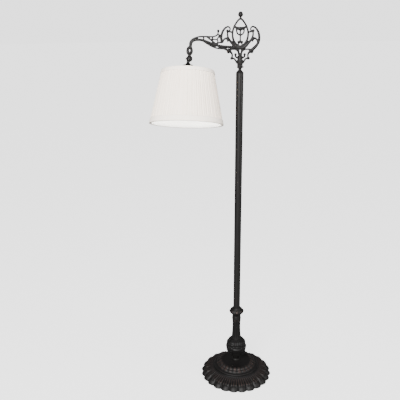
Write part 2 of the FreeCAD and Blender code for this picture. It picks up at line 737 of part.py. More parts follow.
def alongArm(points, side=1):
    return [(-u * armReach.value, datum.value + v * armHeight.value) for u, v in points]


def armFaces():
    # the openwork arm
    u, v, share = spurKnob
    spur = knobFace(alongArm([(u, v)])[0], strand.value * share)
    return strandFaces(armStrands, alongArm) + [spur]


def conduitShape():
    # the raised wire channel from the lyre along the arm into the eye
    curve = Part.BSplineCurve()
    curve.interpolate([flat(point) for point in alongArm(conduitRoute)])
    spine = Part.Wire([curve.toShape()])
    start = curve.value(curve.FirstParameter)
    along = curve.tangent(curve.FirstParameter)[0]
    profile = Part.Wire([Part.Circle(start, along, conduitRadius.value).toShape()])
    return spine.makePipeShell([profile], True, False)


def cupShape():
    # the leafy cup that turns on the end of the pipe
    low, high, wide = -cupBelow.value, cupRise.value, cupRadius.value
    bore = pipeRadius.value + runningFit.value
    depth = high * 0.5
    points = [(bore, low), (wide * 0.72, low), (wide * 0.94, low + 3.5), (wide * 0.92, 0),
              (wide, high * 0.25), (wide * 0.92, high * 0.5), (wide * 0.74, high * 0.72),
              (wide * 0.5, high * 0.9), (wide * 0.25, high + 2), (0, high + 2), (0, depth),
              (bore, depth)]
    ring = [Vector(r, 0, datum.value + z) for r, z in points]
    face = Part.Face(Part.makePolygon(ring + ring[:1]))
    return face.revolve(Vector(0, 0, 0), Vector(0, 0, 1), 360)


def makeBridge():
    depth = castDepth.value
    faces = lyreFaces() + armFaces()
    sheetFace = faces[0].multiFuse(faces[1:]).removeSplitter()
    solids = [face.extrude(Vector(0, depth, 0)) for face in sheetFace.Faces]
    openwork = solids[0].multiFuse(solids[1:]) if len(solids) > 1 else solids[0]
    openwork.translate(Vector(0, -depth / 2, 0))
    # the eye and the boss under it follow the lean of the swivel
    frame = swivelFrame()
    eyeCentre = Vector(0, 0, loopHeight.value / 2 + ballRadius.value + neckLength.value - 3)
    eye = ellipsePrism(eyeCentre, loopWidth.value, loopHeight.value, depth + 3)
    seat = ballRadius.value + neckLength.value
    boss = Part.makeCone(neckRadius.value + 0.8, neckRadius.value + 2.5, 9, Vector(0, 0, seat))
    keepAbove = Part.makeBox(80, 40, 80, Vector(-40, -20, seat))
    eye = eye.common(keepAbove).fuse(boss)
    hole = ellipsePrism(eyeCentre + Vector(0.8, 0, 5), eyeWidth.value, eyeHeight.value, depth * 4)
    stud = Part.makeCylinder(pipeRadius.value * 0.8, 8, Vector(0, 0, seat - 0.1))
    eye = eye.cut(hole).cut(stud)
    eye.Placement = frame.multiply(eye.Placement)
    hollow = Part.makeCylinder(pipeRadius.value + runningFit.value, cupBelow.value
                               + cupRise.value * 0.5, Vector(0, 0, neckTop.value))
    cup = cupShape()
    shape = openwork.cut(hollow).fuse([conduitShape(), cup, eye])
    holeCut = hole.copy()
    holeCut.Placement = frame.multiply(holeCut.Placement)
    studCut = stud.copy()
    studCut.Placement = frame.multiply(studCut.Placement)
    screw = Part.makeCylinder(lockScrewRadius.value + runningFit.value, cupRadius.value,
                              Vector(pipeRadius.value, 0, datum.value - 7), Vector(1, 0, 0))
    seatWidth = 6 * strand.value
    aboveSeat = Part.makeBox(seatWidth, seatWidth, 4 * strand.value,
                             Vector(-seatWidth / 2, -seatWidth / 2, finialSeat.value))
    shape = shape.cut([holeCut, studCut, screw, hollow, aboveSeat]).removeSplitter()
    solidNode("bridge_casting", shape)


def ellipsePrism(centre, width, height, depth):
    wide, tall = width / 2, height / 2
    if wide > tall:
        curve = Part.Ellipse(Vector(0, 0, 0), wide, tall)
    else:
        curve = Part.Ellipse(Vector(0, 0, 0), tall, wide)
    face = Part.Face(Part.Wire([curve.toShape()]))
    if wide <= tall:
        face.rotate(Vector(0, 0, 0), Vector(0, 0, 1), 90)
    face.rotate(Vector(0, 0, 0), Vector(1, 0, 0), 90)
    face.translate(centre + Vector(0, depth / 2, 0))
    return face.extrude(Vector(0, -depth, 0))


def makeFinial():
    # an acorn finial on the flat that is cut across the tip of the oval
    ball = finialRadius
    body = turned("finial", [
        (0, 0),
        (finialFoot, 0),
        (finialFoot * 0.8, 3, -0.6),
        (ball * 0.62, 6.5),
        (ball * 0.8, 8, ball * 0.2),
        (ball * 0.8, finialHeight - 6, 2.0),
        (poleFlat, finialHeight),
        (0, finialHeight)], finialSeat)
    keep("finial", body)


def makeLockScrew():
    body = turned("lock_screw", [
        (0, 0),
        (lockScrewRadius, 0),
        (lockScrewRadius, cupRadius - pipeRadius),
        (lockScrewRadius + 1.2, cupRadius - pipeRadius),
        (lockScrewRadius + 1.2, cupRadius - pipeRadius + 1.4, 0.3),
        (poleFlat, cupRadius - pipeRadius + 2),
        (0, cupRadius - pipeRadius + 2)])
    body.Placement = FreeCAD.Placement(
        Vector(valueOf(pipeRadius + 0.15), 0, valueOf(datum) - 7),
        FreeCAD.Rotation(Vector(0, 1, 0), 90))
    keep("lock_screw", body)


# swivel

def swivelFrame():
    # origin in the swivel's centre, leaning with the eye; the screw lies along its X axis
    return FreeCAD.Placement(Vector(-armReach.value, 0, ballLevel.value),
                             FreeCAD.Rotation(Vector(0, 1, 0), headLean.value))


def headFrame():
    # the swivel's frame tilted to the rest pose and turned over: Z runs down the lamp holder
    tilt = FreeCAD.Rotation(Vector(1, 0, 0), -restTilt.value)
    over = FreeCAD.Rotation(Vector(1, 0, 0), 180)
    frame = swivelFrame()
    return FreeCAD.Placement(frame.Base, frame.Rotation.multiply(tilt).multiply(over))


def onHolderAxis():
    return headFrame().multiply(
        FreeCAD.Placement(Vector(-headOffset.value, 0, 0), FreeCAD.Rotation()))


def swivelHalf(side, neckAt, pinRadius):
    # half a ball on one side of the split, with a neck that clears the other half
    radius = ballRadius.value
    ball = Part.makeSphere(radius)
    halfSpace = Part.makeBox(4 * radius, 4 * radius, 4 * radius,
                             Vector(0 if side > 0 else -4 * radius, -2 * radius, -2 * radius))
    half = ball.common(halfSpace)
    otherSide = Part.makeBox(4 * radius, 4 * radius, 4 * radius,
                             Vector(-4 * radius if side > 0 else 0, -2 * radius, -2 * radius))
    clear = Part.makeSphere(radius + swivelGap.value).common(otherSide)
    neck = Part.makeCylinder(neckRadius.value, radius + neckLength.value - radius * 0.5,
                             Vector(neckAt, 0, radius * 0.5))
    pin = Part.makeCylinder(pinRadius, 4 * radius, Vector(-2 * radius, 0, 0), Vector(1, 0, 0))
    return half.fuse(neck).cut([clear, pin]).removeSplitter()


def makeSwivel():
    upper = swivelHalf(1, 0, swivelPin.value)
    wireway = Part.makeCylinder(pipeRadius.value * 0.8, neckLength.value + 6,
                                Vector(0, 0, ballRadius.value - 3))
    solidNode("swivel_upper", upper.cut(wireway).removeSplitter(), swivelFrame())
    lower = swivelHalf(-1, -headOffset.value, swivelPin.value + runningFit.value)
    solidNode("swivel_lower", lower, headFrame())
    # the screw: a slotted head outside the lower half, its thread in the upper one
    radius = ballRadius.value
    head = Part.makeCylinder(swivelPin.value + 1.8, 2, Vector(-radius - 2.3, 0, 0), Vector(1, 0, 0))
    shank = Part.makeCylinder(swivelPin.value, 2 * radius - 0.6, Vector(-radius - 0.5, 0, 0),
                              Vector(1, 0, 0))
    slot = Part.makeBox(1.0, 20, 0.9, Vector(-radius - 2.6, -10, -0.45))
    screw = head.fuse(shank).cut(slot).removeSplitter()
    solidNode("swivel_screw", screw, swivelFrame())
    foot = Vector(0, 0, radius + 2 * swivelGap.value)
    length = neckLength.value + 6
    stud = Part.makeCylinder(pipeRadius.value * 0.8 - runningFit.value, length, foot)
    stud = stud.cut(Part.makeCylinder(pipeRadius.value * 0.5, length, foot))
    solidNode("swivel_nipple", stud, swivelFrame())


# lamp holder

def holderPiece(label, corners, level):
    body = turned(label, corners)
    body.Placement = onHolderAxis().multiply(
        FreeCAD.Placement(Vector(0, 0, valueOf(level)), FreeCAD.Rotation()))
    return keep(label, body)


def makeHolder():
    shellTop = holderTop + bellHeight - 3
    outer, wall = shellRadius, shellWall

    def drilledForKey(body):
        # the key's shaft passes through the side with room round it
        start = Vector(valueOf(outer) - 5, 0, valueOf(keyDepth))
        cutRound(body, body.Label + "KeyHole", keyShaft + slipFit, 10,
                 aimed(start, start + Vector(1, 0, 0)))

    holderPiece("socket_cap", [
        (neckRadius * 0.5, 0),
        (neckRadius + 1, 0, -1.8),
        (bellRadius - 1.2, bellHeight - 3.4),
        (bellRadius, bellHeight - 2.4),
        (bellRadius, bellHeight),
        (outer + 0.15, bellHeight),
        (outer + 0.15, bellHeight - 3),
        (neckRadius * 0.5, bellHeight - 3)], holderTop)
    drilledForKey(holderPiece("socket_shell", [
        (outer - wall, 0),
        (outer, 0),
        (outer, shoulderDepth - 3),
        (shoulderRadius, shoulderDepth - 1.2),
        (shoulderRadius, shoulderDepth),
        (skirtRadius, shoulderDepth),
        (skirtRadius, shellLength),
        (skirtRadius - wall, shellLength),
        (skirtRadius - wall, shoulderDepth - 1),
        (outer - wall, shoulderDepth - 2)], shellTop))
    linerOut = outer - wall - 0.05
    drilledForKey(holderPiece("socket_liner", [
        (linerOut - linerWall, 0),
        (linerOut, 0),
        (linerOut, shellLength - 2),
        (linerOut - linerWall, shellLength - 2)], shellTop))
    insertDepth = shoulderDepth - 4
    drilledForKey(holderPiece("socket_insert", [
        (0, 0),
        (linerOut - linerWall - 0.05, 0),
        (linerOut - linerWall - 0.05, insertDepth - 1),
        (linerOut - linerWall - 1.5, insertDepth),
        (0, insertDepth)], shellTop))
    holderPiece("screw_shell", [
        (5, 0),
        (screwShellBore + 0.35, 0),
        (screwShellBore + 0.35, shellLength - insertDepth - 5),
        (screwShellBore, shellLength - insertDepth - 5),
        (screwShellBore, 0.4),
        (5, 0.4)], shellTop + insertDepth)
    holderPiece("centre_contact", [
        (0, 0),
        (3.2, 0),
        (3.2, 0.8, 0.4),
        (poleFlat, 2),
        (0, 2)], shellTop + insertDepth)
    bulbSeat = shellTop + insertDepth + 2.2
    capLength = 24
    holderPiece("bulb_cap", [
        (0, 0),
        (3.5, 0),
        (5, 2),
        (screwShellBore - 0.5, 6),
        (screwShellBore - 0.5, capLength),
        (0, capLength)], bulbSeat)
    holderPiece("bulb_glass", [
        (0, 0),
        (screwShellBore - 0.9, 0),
        (screwShellBore - 0.4, 8, -2.2),
        (bulbRadius * 0.93, 42, 3.0),
        (bulbRadius * 0.96, 60, 8.6),
        (poleFlat, bulbLength - capLength),
        (0, bulbLength - capLength)], bulbSeat + capLength)
    return shellTop


def makeKey(shellTop):
    # a flat turn key on a round shaft through the side of the shell
    outer = shellRadius.value
    depth = (shellTop + keyDepth).value
    reach = keyLength.value
    shaft = Part.makeCylinder(keyShaft.value, reach, Vector(outer - 3.5, 0, depth),
                              Vector(1, 0, 0))
    paddle = Part.makeBox(reach * 0.62, 3, 9, Vector(outer + reach * 0.5, -1.5, depth - 4.5))
    upright = [edge for edge in paddle.Edges
               if abs(edge.tangentAt(edge.FirstParameter).y) > 0.9]
    paddle = paddle.makeFillet(2.6, upright)
    solidNode("switch_key", shaft.fuse(paddle).removeSplitter(), onHolderAxis())
    collar = Part.makeCylinder(keyShaft.value + 1.8, 3.4, Vector(outer - 0.6, 0, depth),
                               Vector(1, 0, 0))
    bore = Part.makeCylinder(keyShaft.value + runningFit.value, 12,
                             Vector(outer - 5, 0, depth), Vector(1, 0, 0))
    inside = Part.makeCylinder(outer + runningFit.value, 20, Vector(0, 0, depth - 10))
    solidNode("key_bushing", collar.cut([bore, inside]).removeSplitter(), onHolderAxis())


# shade

def coneRadius(level):
    # radius of the shade's outside at a level below its upper edge
    share = level / shadeHeight.value
    return shadeTopRadius.value + (shadeRadius.value - shadeTopRadius.value) * share


def pleatWire(level, inset):
    # one level of the pleated cloth: a deep fold and a shallow one by turns
    folds = (0, lowPleat.value, 0, pleatDepth.value)
    count = len(folds) * int(pleats.value)
    points = []
    for index in range(count):
        angle = 2 * math.pi * index / count
        radius = coneRadius(level) - inset - folds[index % len(folds)]
        points.append(Vector(radius * math.cos(angle), radius * math.sin(angle),
                             shadeTop.value + level))
    return Part.makePolygon(points + points[:1])


def makeCover():
    edge = trimWall.value + 0.3
    top, low = edge, shadeHeight.value - edge
    inset = trimWall.value + 0.1
    outside = Part.makeLoft([pleatWire(top, inset), pleatWire(low, inset)], True, True)
    thick = clothWall.value
    inside = Part.makeLoft([pleatWire(top - 1, inset + thick),
                            pleatWire(low + 1, inset + thick)], True, True)
    solidNode("shade_cover", outside.cut(inside), onHolderAxis())


def ringShape(level, length, inset, wall):
    # a conical band that follows the slope of the shade
    points = [(coneRadius(level) - inset - wall, level), (coneRadius(level) - inset, level),
              (coneRadius(level + length) - inset, level + length),
              (coneRadius(level + length) - inset - wall, level + length)]
    ring = [Vector(r, 0, shadeTop.value + z) for r, z in points]
    face = Part.Face(Part.makePolygon(ring + ring[:1]))
    return face.revolve(Vector(0, 0, 0), Vector(0, 0, 1), 360)


def makeShade(shellTop):
    makeCover()
    height = shadeHeight.value
    wire = wireRadius.value
    clothIn = trimWall.value + 0.1 + pleatDepth.value + clothWall.value
    edge = trimWall.value + 0.3
    # the wires lie between the cover and the lining, which starts under the upper ring
    wireIn = clothIn + 0.3
    liningIn = wireIn + 2 * wire + 0.25
    liningTop = edge + 2 * wire + 1.2
    solidNode("shade_lining", ringShape(liningTop, height - edge - liningTop, liningIn,
                                        liningWall.value), onHolderAxis())
    # the braid folds over each edge: an outer band and a lip on the rim
    for label, level, length, lipWidth in (
            ("trim_top", 0, topTrimHeight.value, clothIn + 1.2),
            ("trim_bottom", height - lowTrimHeight.value, lowTrimHeight.value,
             liningIn + liningWall.value + 0.6)):
        band = ringShape(level, length, 0, trimWall.value)
        lipLevel = 0 if level == 0 else height - trimWall.value
        lip = ringShape(lipLevel, trimWall.value, 0, lipWidth)
        solidNode(label, band.fuse(lip).removeSplitter(), onHolderAxis())
    # wire frame: two rings and upright ribs, and the fitter with its three spokes
    topAt, lowAt = edge + wire, height - edge - wire
    pieces = []
    for level in (topAt, lowAt):
        pieces.append(ringShape(level - wire, 2 * wire, wireIn, 2 * wire))
    inset = wireIn + wire

    def onCone(level, angle, extra=0.0):
        radius = coneRadius(level) - inset - extra
        return Vector(radius * math.cos(angle), radius * math.sin(angle), shadeTop.value + level)

    count = int(ribCount.value)
    for index in range(count):
        angle = 2 * math.pi * (index + 0.5) / count
        start, end = onCone(topAt, angle), onCone(lowAt, angle)
        pieces.append(Part.makeCylinder(wire, (end - start).Length, start, end - start))
    solidNode("shade_frame", pieces[0].multiFuse(pieces[1:]), onHolderAxis())
    fitterLevel = valueOf(shellTop + shoulderDepth)
    ringIn = valueOf(skirtRadius + slipFit)
    fitter = Part.makeCylinder(fitterRadius.value, fitterWall.value, Vector(0, 0, fitterLevel))
    fitter = fitter.cut(Part.makeCylinder(ringIn, 10, Vector(0, 0, fitterLevel - 5)))
    pieces = [fitter]
    for index in range(3):
        angle = 2 * math.pi * index / 3 + math.pi / 2
        inner = Vector((fitterRadius.value - 1.5) * math.cos(angle),
                       (fitterRadius.value - 1.5) * math.sin(angle),
                       fitterLevel + fitterWall.value / 2)
        end = onCone(topAt, angle, wire + 0.25)
        pieces.append(Part.makeCylinder(wire, (end - inner).Length, inner, end - inner))
    fitter = pieces[0].multiFuse(pieces[1:])
    fitter = fitter.cut(Part.makeCylinder(ringIn, 40, Vector(0, 0, fitterLevel - 20)))
    solidNode("shade_fitter", fitter, onHolderAxis())
    ring = holderPiece("shade_lock_ring", [
        (skirtRadius + slipFit / 3, 0),
        (fitterRadius - 1.9, 0),
        (fitterRadius - 1.9, lockRingHeight - 1),
        (fitterRadius - 2.9, lockRingHeight),
        (skirtRadius + slipFit / 3, lockRingHeight)],
        shellTop + shoulderDepth + fitterWall)
    return ring


# build

makeFelt()
makeBase()
makeBushing()
pipeFoot = makeBallast()
makeFoot()
makeTube(pipeFoot)
makeBridge()
makeFinial()
makeLockScrew()
makeSwivel()
holderShellTop = makeHolder()
makeKey(holderShellTop)
makeShade(holderShellTop)

doc.recompute()
for item in doc.Objects:
    if "Invalid" in item.State or "Error" in item.State:
        raise RuntimeError("%s did not build: %s" % (item.Label, item.State))
for node in nodes:
    shape = node.Shape
    if shape.isNull() or not shape.isValid() or shape.Volume <= 0:
        raise RuntimeError("%s has no valid shape" % node.Label)

os.makedirs("parts", exist_ok=True)
for node in nodes:
    solids = len(node.Shape.Solids)
    print("%-16s %d solid, %.1f cm3" % (node.Label, solids, node.Shape.Volume / 1000))
    node.Shape.exportStep("parts/%s.step" % node.Label)
print("%d pieces" % len(nodes))
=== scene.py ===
import json
import math
import bmesh
import bpy
from mathutils import Matrix, Vector, noise


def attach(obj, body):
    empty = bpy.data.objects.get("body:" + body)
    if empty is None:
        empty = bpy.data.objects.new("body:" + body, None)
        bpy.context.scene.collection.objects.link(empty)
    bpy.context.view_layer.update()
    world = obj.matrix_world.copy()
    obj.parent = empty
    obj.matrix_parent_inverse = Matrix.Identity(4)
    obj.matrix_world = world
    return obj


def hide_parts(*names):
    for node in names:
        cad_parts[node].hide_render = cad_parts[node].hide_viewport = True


# Bridge floor lamp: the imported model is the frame, and the pieces below stand for its castings
# and its cloth. Sizes in the dictionaries are millimetres and degrees unless a note says metres.
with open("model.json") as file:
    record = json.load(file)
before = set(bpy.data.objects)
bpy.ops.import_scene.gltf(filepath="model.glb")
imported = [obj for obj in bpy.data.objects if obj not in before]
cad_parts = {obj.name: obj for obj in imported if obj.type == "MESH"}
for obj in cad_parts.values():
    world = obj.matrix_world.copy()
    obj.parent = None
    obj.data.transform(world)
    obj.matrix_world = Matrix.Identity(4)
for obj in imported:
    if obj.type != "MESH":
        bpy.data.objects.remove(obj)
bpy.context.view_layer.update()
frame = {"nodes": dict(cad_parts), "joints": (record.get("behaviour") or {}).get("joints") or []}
mm = 0.001
print("frame loaded")


# small maths helpers

def fade(value, low, high):
    # 0 below low, 1 above high and a smooth step between them
    share = min(max((value - low) / (high - low), 0.0), 1.0)
    return share * share * (3 - 2 * share)


def hump(value, centre, width):
    return math.exp(-((value - centre) / width) ** 2)


def curveThrough(points, steps):
    # a smooth line through the points, steps pieces to a span; works in two or three dimensions
    ends = [Vector(point) for point in points]
    ends = [ends[0] * 2 - ends[1]] + ends + [ends[-1] * 2 - ends[-2]]
    line = []
    for index in range(1, len(ends) - 2):
        before, here, there, after = ends[index - 1:index + 3]
        for step in range(steps):
            t = step / steps
            line.append(0.5 * (2 * here + (there - before) * t
                               + (2 * before - 5 * here + 4 * there - after) * t * t
                               + (3 * here - before - 3 * there + after) * t * t * t))
    line.append(ends[-2])
    return line


# materials

class Flow:
    # one socket of a material; arithmetic on it adds Math nodes
    def __init__(self, paint, socket):
        self.paint = paint
        self.socket = socket

    def maths(self, operation, *values):
        return self.paint.add("ShaderNodeMath", {"operation": operation}, dict(enumerate(values)))

    def __add__(self, other):
        return self.maths("ADD", self, other)

    def __radd__(self, other):
        return self.maths("ADD", other, self)

    def __sub__(self, other):
        return self.maths("SUBTRACT", self, other)

    def __mul__(self, other):
        return self.maths("MULTIPLY", self, other)

    def __rmul__(self, other):
        return self.maths("MULTIPLY", other, self)

    def sine(self):
        return self.maths("SINE", self)

    def size(self):
        return self.maths("ABSOLUTE", self)

    def between(self, low, high):
        return self.paint.add("ShaderNodeMapRange", {"interpolation_type": "SMOOTHSTEP"},
                              {"Value": self, "From Min": low, "From Max": high})


class Paint:
    # a material, or the world, and the one method that adds nodes to it
    def __init__(self, name, owner=None, **uniform):
        self.material = owner or bpy.data.materials.new(name)
        self.material.use_nodes = True
        self.tree = self.material.node_tree
        self.shader = self.tree.nodes["Background" if owner else "Principled BSDF"]
        for socket, value in uniform.items():
            self.shader.inputs[socket.replace("_", " ")].default_value = value

    def add(self, kind, settings=None, values=None, out=0):
        item = self.tree.nodes.new(kind)
        for name, value in (settings or {}).items():
            if name == "stops":
                ramp = item.color_ramp
                while len(ramp.elements) < len(value):
                    ramp.elements.new(0.5)
                for element, (place, colour) in zip(ramp.elements, value):
                    element.position = place
                    element.color = (*colour, 1)
            else:
                setattr(item, name, value)
        for name, value in (values or {}).items():
            if isinstance(value, Flow):
                self.tree.links.new(value.socket, item.inputs[name])
            else:
                item.inputs[name].default_value = value
        return Flow(self, item.outputs[out])

    def places(self, kind="Object"):
        return self.add("ShaderNodeTexCoord", out={"UV": 2, "Object": 3}[kind])

    def stretched(self, scale, kind="Object"):
        return self.add("ShaderNodeMapping", values={"Vector": self.places(kind), "Scale": scale})

    def speckle(self, scale, detail=3.0, rough=0.5, where=None):
        return self.add("ShaderNodeTexNoise", values={
            "Vector": where or self.places(), "Scale": scale, "Detail": detail,
            "Roughness": rough})

    def layer(self, name):
        return self.add("ShaderNodeAttribute", {"attribute_name": name}, out=2)

    def mixed(self, factor, first, second):
        return self.add("ShaderNodeMix", {"data_type": "RGBA"},
                        {0: factor, 6: first, 7: second}, out=2)

    def relief(self, height, strength, distance):
        return self.add("ShaderNodeBump", values={
            "Height": height, "Strength": strength, "Distance": distance})

    def feed(self, **links):
        for socket, flow in links.items():
            self.tree.links.new(flow.socket, self.shader.inputs[socket.replace("_", " ")])
        return self.material


def colour(*parts):
    return (*parts, 1.0)


bronze = {
    "deep": colour(0.001, 0.0009, 0.0009),
    "skin": colour(0.0039, 0.0035, 0.0034),
    "drawn": colour(0.0021, 0.0019, 0.0018),
    "rubbed": colour(0.04, 0.027, 0.0245),
    "gloss": 0.14,
    "tubeGloss": 0.24,
    "dullGloss": 0.02,
    "roughness": (0.44, 0.62),
}


def castBronze(name, useLayer, gloss=bronze["gloss"]):
    # dark oil-rubbed finish: nearly black, browner where an edge is rubbed through
    paint = Paint(name, Specular_IOR_Level=gloss)
    cloud = paint.speckle(28.0, 4.0, 0.6)
    grain = paint.speckle(900.0, 2.0, 0.6)
    if useLayer:
        high = paint.layer("rub")
        rubbed = (high + (cloud - 0.5) * 0.8).between(0.7, 1.1) * 0.7
        hollow = (high + (grain - 0.5) * 0.2).between(0.5, 0.1)
        base = paint.mixed(hollow, bronze["skin"], bronze["deep"])
    else:
        rubbed = (cloud + (grain - 0.5) * 0.3).between(0.6, 0.8) * 0.15
        base = bronze["skin"]
    base = paint.mixed(rubbed, base, bronze["rubbed"])
    low, high = bronze["roughness"]
    rough = low + (high - low) * (cloud * 0.6 + grain * 0.4)
    bump = paint.relief(grain * 0.7 + cloud * 0.6, 0.35, 0.0004)
    return paint.feed(Base_Color=base, Roughness=rough, Metallic=rubbed, Normal=bump)


def lacquered(name):
    # drawn tube under the same dark finish: faint lengthwise streaks
    paint = Paint(name, Specular_IOR_Level=bronze["tubeGloss"])
    streaks = paint.speckle(40.0, 3.0, 0.6, paint.stretched((14.0, 14.0, 0.25)))
    cloud = paint.speckle(9.0, 3.0, 0.5)
    base = paint.mixed((streaks * 0.6 + cloud * 0.6).between(0.45, 0.85) * 0.06,
                       bronze["drawn"], bronze["rubbed"])
    bump = paint.relief(streaks, 0.12, 0.0002)
    return paint.feed(Base_Color=base, Roughness=0.38 + 0.14 * streaks, Normal=bump)


def plainMetal(name, tone, dark, rough, metallic=1.0):
    # cut or plated metal with fine mottling and a few duller patches
    paint = Paint(name, Metallic=metallic)
    patch = paint.speckle(60.0, 3.0, 0.6)
    fine = paint.speckle(1100.0, 2.0, 0.5)
    base = paint.mixed(patch.between(0.4, 0.7), tone, dark)
    bump = paint.relief(fine, 0.15, 0.0002)
    return paint.feed(Base_Color=base, Roughness=rough + 0.15 * (patch * 0.5 + fine * 0.5),
                      Normal=bump)


def moulded(name, tone, rough):
    # moulded insulating plastic, faintly cloudy
    paint = Paint(name, Coat_Weight=0.15)
    cloud = paint.speckle(150.0, 4.0, 0.6)
    base = paint.mixed(cloud.between(0.35, 0.75) * 0.5, tone, colour(0.06, 0.035, 0.02))
    bump = paint.relief(cloud, 0.1, 0.0002)
    return paint.feed(Base_Color=base, Roughness=rough + 0.1 * cloud, Normal=bump)


def woven(name, tone, shade, threads, through, light=0.0):
    # woven cloth on a UV map in metres: two sets of threads, slubs and a little light through it;
    # light above zero is a painted glow in the cloth's own colour
    paint = Paint(name, Sheen_Weight=0.2, Sheen_Roughness=0.5, Specular_IOR_Level=0.2,
                  # light sets the emission strength: a painted glow on the cloth, not a lamp
                  Emission_Strength=light)
    across = paint.add("ShaderNodeSeparateXYZ", values={0: paint.places("UV")})
    along = Flow(paint, across.socket.node.outputs[1])
    turns = 2 * math.pi * threads
    weave = (across * turns).sine().size() * 0.5 + (along * turns).sine().size() * 0.5
    slub = paint.speckle(70.0, 4.0, 0.65, paint.stretched((1.0, 0.12, 1.0), "UV"))
    tint = paint.speckle(9.0, 3.0, 0.5)
    base = paint.mixed((slub * 0.55 + tint * 0.45).between(0.35, 0.7), tone, shade)
    bump = paint.relief(weave * 0.7 + slub * 0.6, 0.25, 0.0003)
    # the emission colour is the cloth's own colour, so any light above zero paints a glow on it
    paint.feed(Base_Color=base, Roughness=0.82 + 0.12 * weave, Emission_Color=base, Normal=bump)
    glow = paint.add("ShaderNodeBsdfTranslucent", values={"Color": base, "Normal": bump})
    both = paint.add("ShaderNodeMixShader", values={
        0: through, 1: Flow(paint, paint.shader.outputs[0]), 2: glow})
    paint.tree.links.new(both.socket, paint.tree.nodes["Material Output"].inputs["Surface"])
    return paint.material


def feltMaterial():
    paint = Paint("denseFelt", Sheen_Weight=0.4, Specular_IOR_Level=0.1)
    fluff = paint.speckle(1600.0, 4.0, 0.7)
    cloud = paint.speckle(30.0, 3.0, 0.5)
    base = paint.mixed((fluff * 0.6 + cloud * 0.4).between(0.3, 0.7), colour(0.010, 0.016, 0.012),
                       colour(0.03, 0.045, 0.034))
    bump = paint.relief(fluff, 0.6, 0.0006)
    return paint.feed(Base_Color=base, Roughness=0.92 + 0.06 * fluff, Normal=bump)


def frostedGlass():
    paint = Paint("frostedGlass", Transmission_Weight=0.35, IOR=1.45, Coat_Weight=0.1,
                  Emission_Strength=1.5)
    cloud = paint.speckle(14.0, 2.0, 0.5)
    fine = paint.speckle(2500.0, 1.0, 0.5)
    base = paint.mixed(cloud.between(0.3, 0.7), colour(0.93, 0.92, 0.88),
                       colour(0.87, 0.86, 0.82))
    bump = paint.relief(fine, 0.08, 0.0001)
    return paint.feed(Base_Color=base, Roughness=0.28 + 0.08 * cloud, Emission_Color=base,
                      Normal=bump)


finishes = {
    "casting": castBronze("castBronze", True),
    "smallCasting": castBronze("smallCastBronze", False),
    "bell": castBronze("bellBronze", False, bronze["dullGloss"]),
    "tube": lacquered("lacqueredTube"),
    "zinc": plainMetal("zincPlate", colour(0.5, 0.5, 0.48), colour(0.32, 0.32, 0.31), 0.32),
    "enamel": plainMetal("whiteEnamel", colour(0.86, 0.86, 0.84), colour(0.8, 0.8, 0.77), 0.3,
                         0.0),
    "iron": plainMetal("rawIron", colour(0.09, 0.085, 0.08), colour(0.05, 0.03, 0.022), 0.6, 0.7),
    "brass": plainMetal("plainBrass", colour(0.62, 0.46, 0.2), colour(0.42, 0.29, 0.12), 0.28),
    "aluminium": plainMetal("rolledCap", colour(0.75, 0.75, 0.74), colour(0.6, 0.6, 0.58), 0.3),
    "screw": plainMetal("darkScrew", colour(0.05, 0.045, 0.04), colour(0.02, 0.017, 0.015), 0.35),
    "phenolic": moulded("phenolic", colour(0.012, 0.01, 0.009), 0.28),
    "fibre": moulded("vulcanisedFibre", colour(0.36, 0.22, 0.11), 0.6),
    "bushing": moulded("bushingPlastic", colour(0.01, 0.01, 0.01), 0.45),
    "glass": frostedGlass(),
    "felt": feltMaterial(),
    "cover": woven("pleatedCloth", colour(0.93, 0.85, 0.76), colour(0.89, 0.80, 0.705), 1100,
                   0.25),
    # the lining glows by itself at strength 2.6: painted light standing for a lit inside of the
    # shade
    "lining": woven("liningClothPaintedGlow", colour(0.93, 0.925, 0.9), colour(0.89, 0.88, 0.85), 1500, 0.3,
                    2.6),
    "braid": woven("edgeBand", colour(0.92, 0.84, 0.75), colour(0.86, 0.775, 0.68), 900, 0.15),
}

nodeFinish = {
    "spool_neck": "smallCasting", "finial": "smallCasting", "pole_tube": "tube",
    "pole_cap": "smallCasting", "swivel_upper": "smallCasting", "swivel_lower": "smallCasting",
    "socket_cap": "bell", "lock_screw": "screw", "swivel_screw": "screw",
    "base_weight": "iron", "base_washer": "zinc", "base_nut": "zinc", "tie_pipe": "zinc",
    "swivel_nipple": "zinc", "cord_bushing": "bushing", "socket_shell": "bell",
    "screw_shell": "brass", "centre_contact": "brass", "key_bushing": "brass",
    "socket_liner": "fibre", "socket_insert": "phenolic", "switch_key": "phenolic",
    "shade_lock_ring": "phenolic", "shade_frame": "enamel", "shade_fitter": "enamel",
    "bulb_cap": "aluminium", "bulb_glass": "glass",
}
for nodeName, finish in nodeFinish.items():
    slots = frame["nodes"][nodeName].data.materials
    slots.clear()
    slots.append(finishes[finish])
print("materials made")


# mesh helpers

def spun(outside, inside, steps):
    # a closed turned shape about Z; the layer "skin" is 1 on the outside profile
    shape = bmesh.new()
    skin = shape.verts.layers.float.new("skin")
    loop = []
    for share, profile in ((1.0, outside), (0.0, inside)):
        for radius, height in profile:
            vert = shape.verts.new((radius * mm, 0, height * mm))
            vert[skin] = share
            loop.append(vert)
    rim = [shape.edges.new(pair) for pair in zip(loop, loop[1:] + loop[:1])]
    bmesh.ops.spin(shape, geom=loop + rim, cent=(0, 0, 0), axis=(0, 0, 1), dvec=(0, 0, 0),
                   angle=2 * math.pi, steps=steps, use_merge=True)
    bmesh.ops.remove_doubles(shape, verts=shape.verts, dist=1e-6)
    bmesh.ops.recalc_face_normals(shape, faces=shape.faces)
    return shape


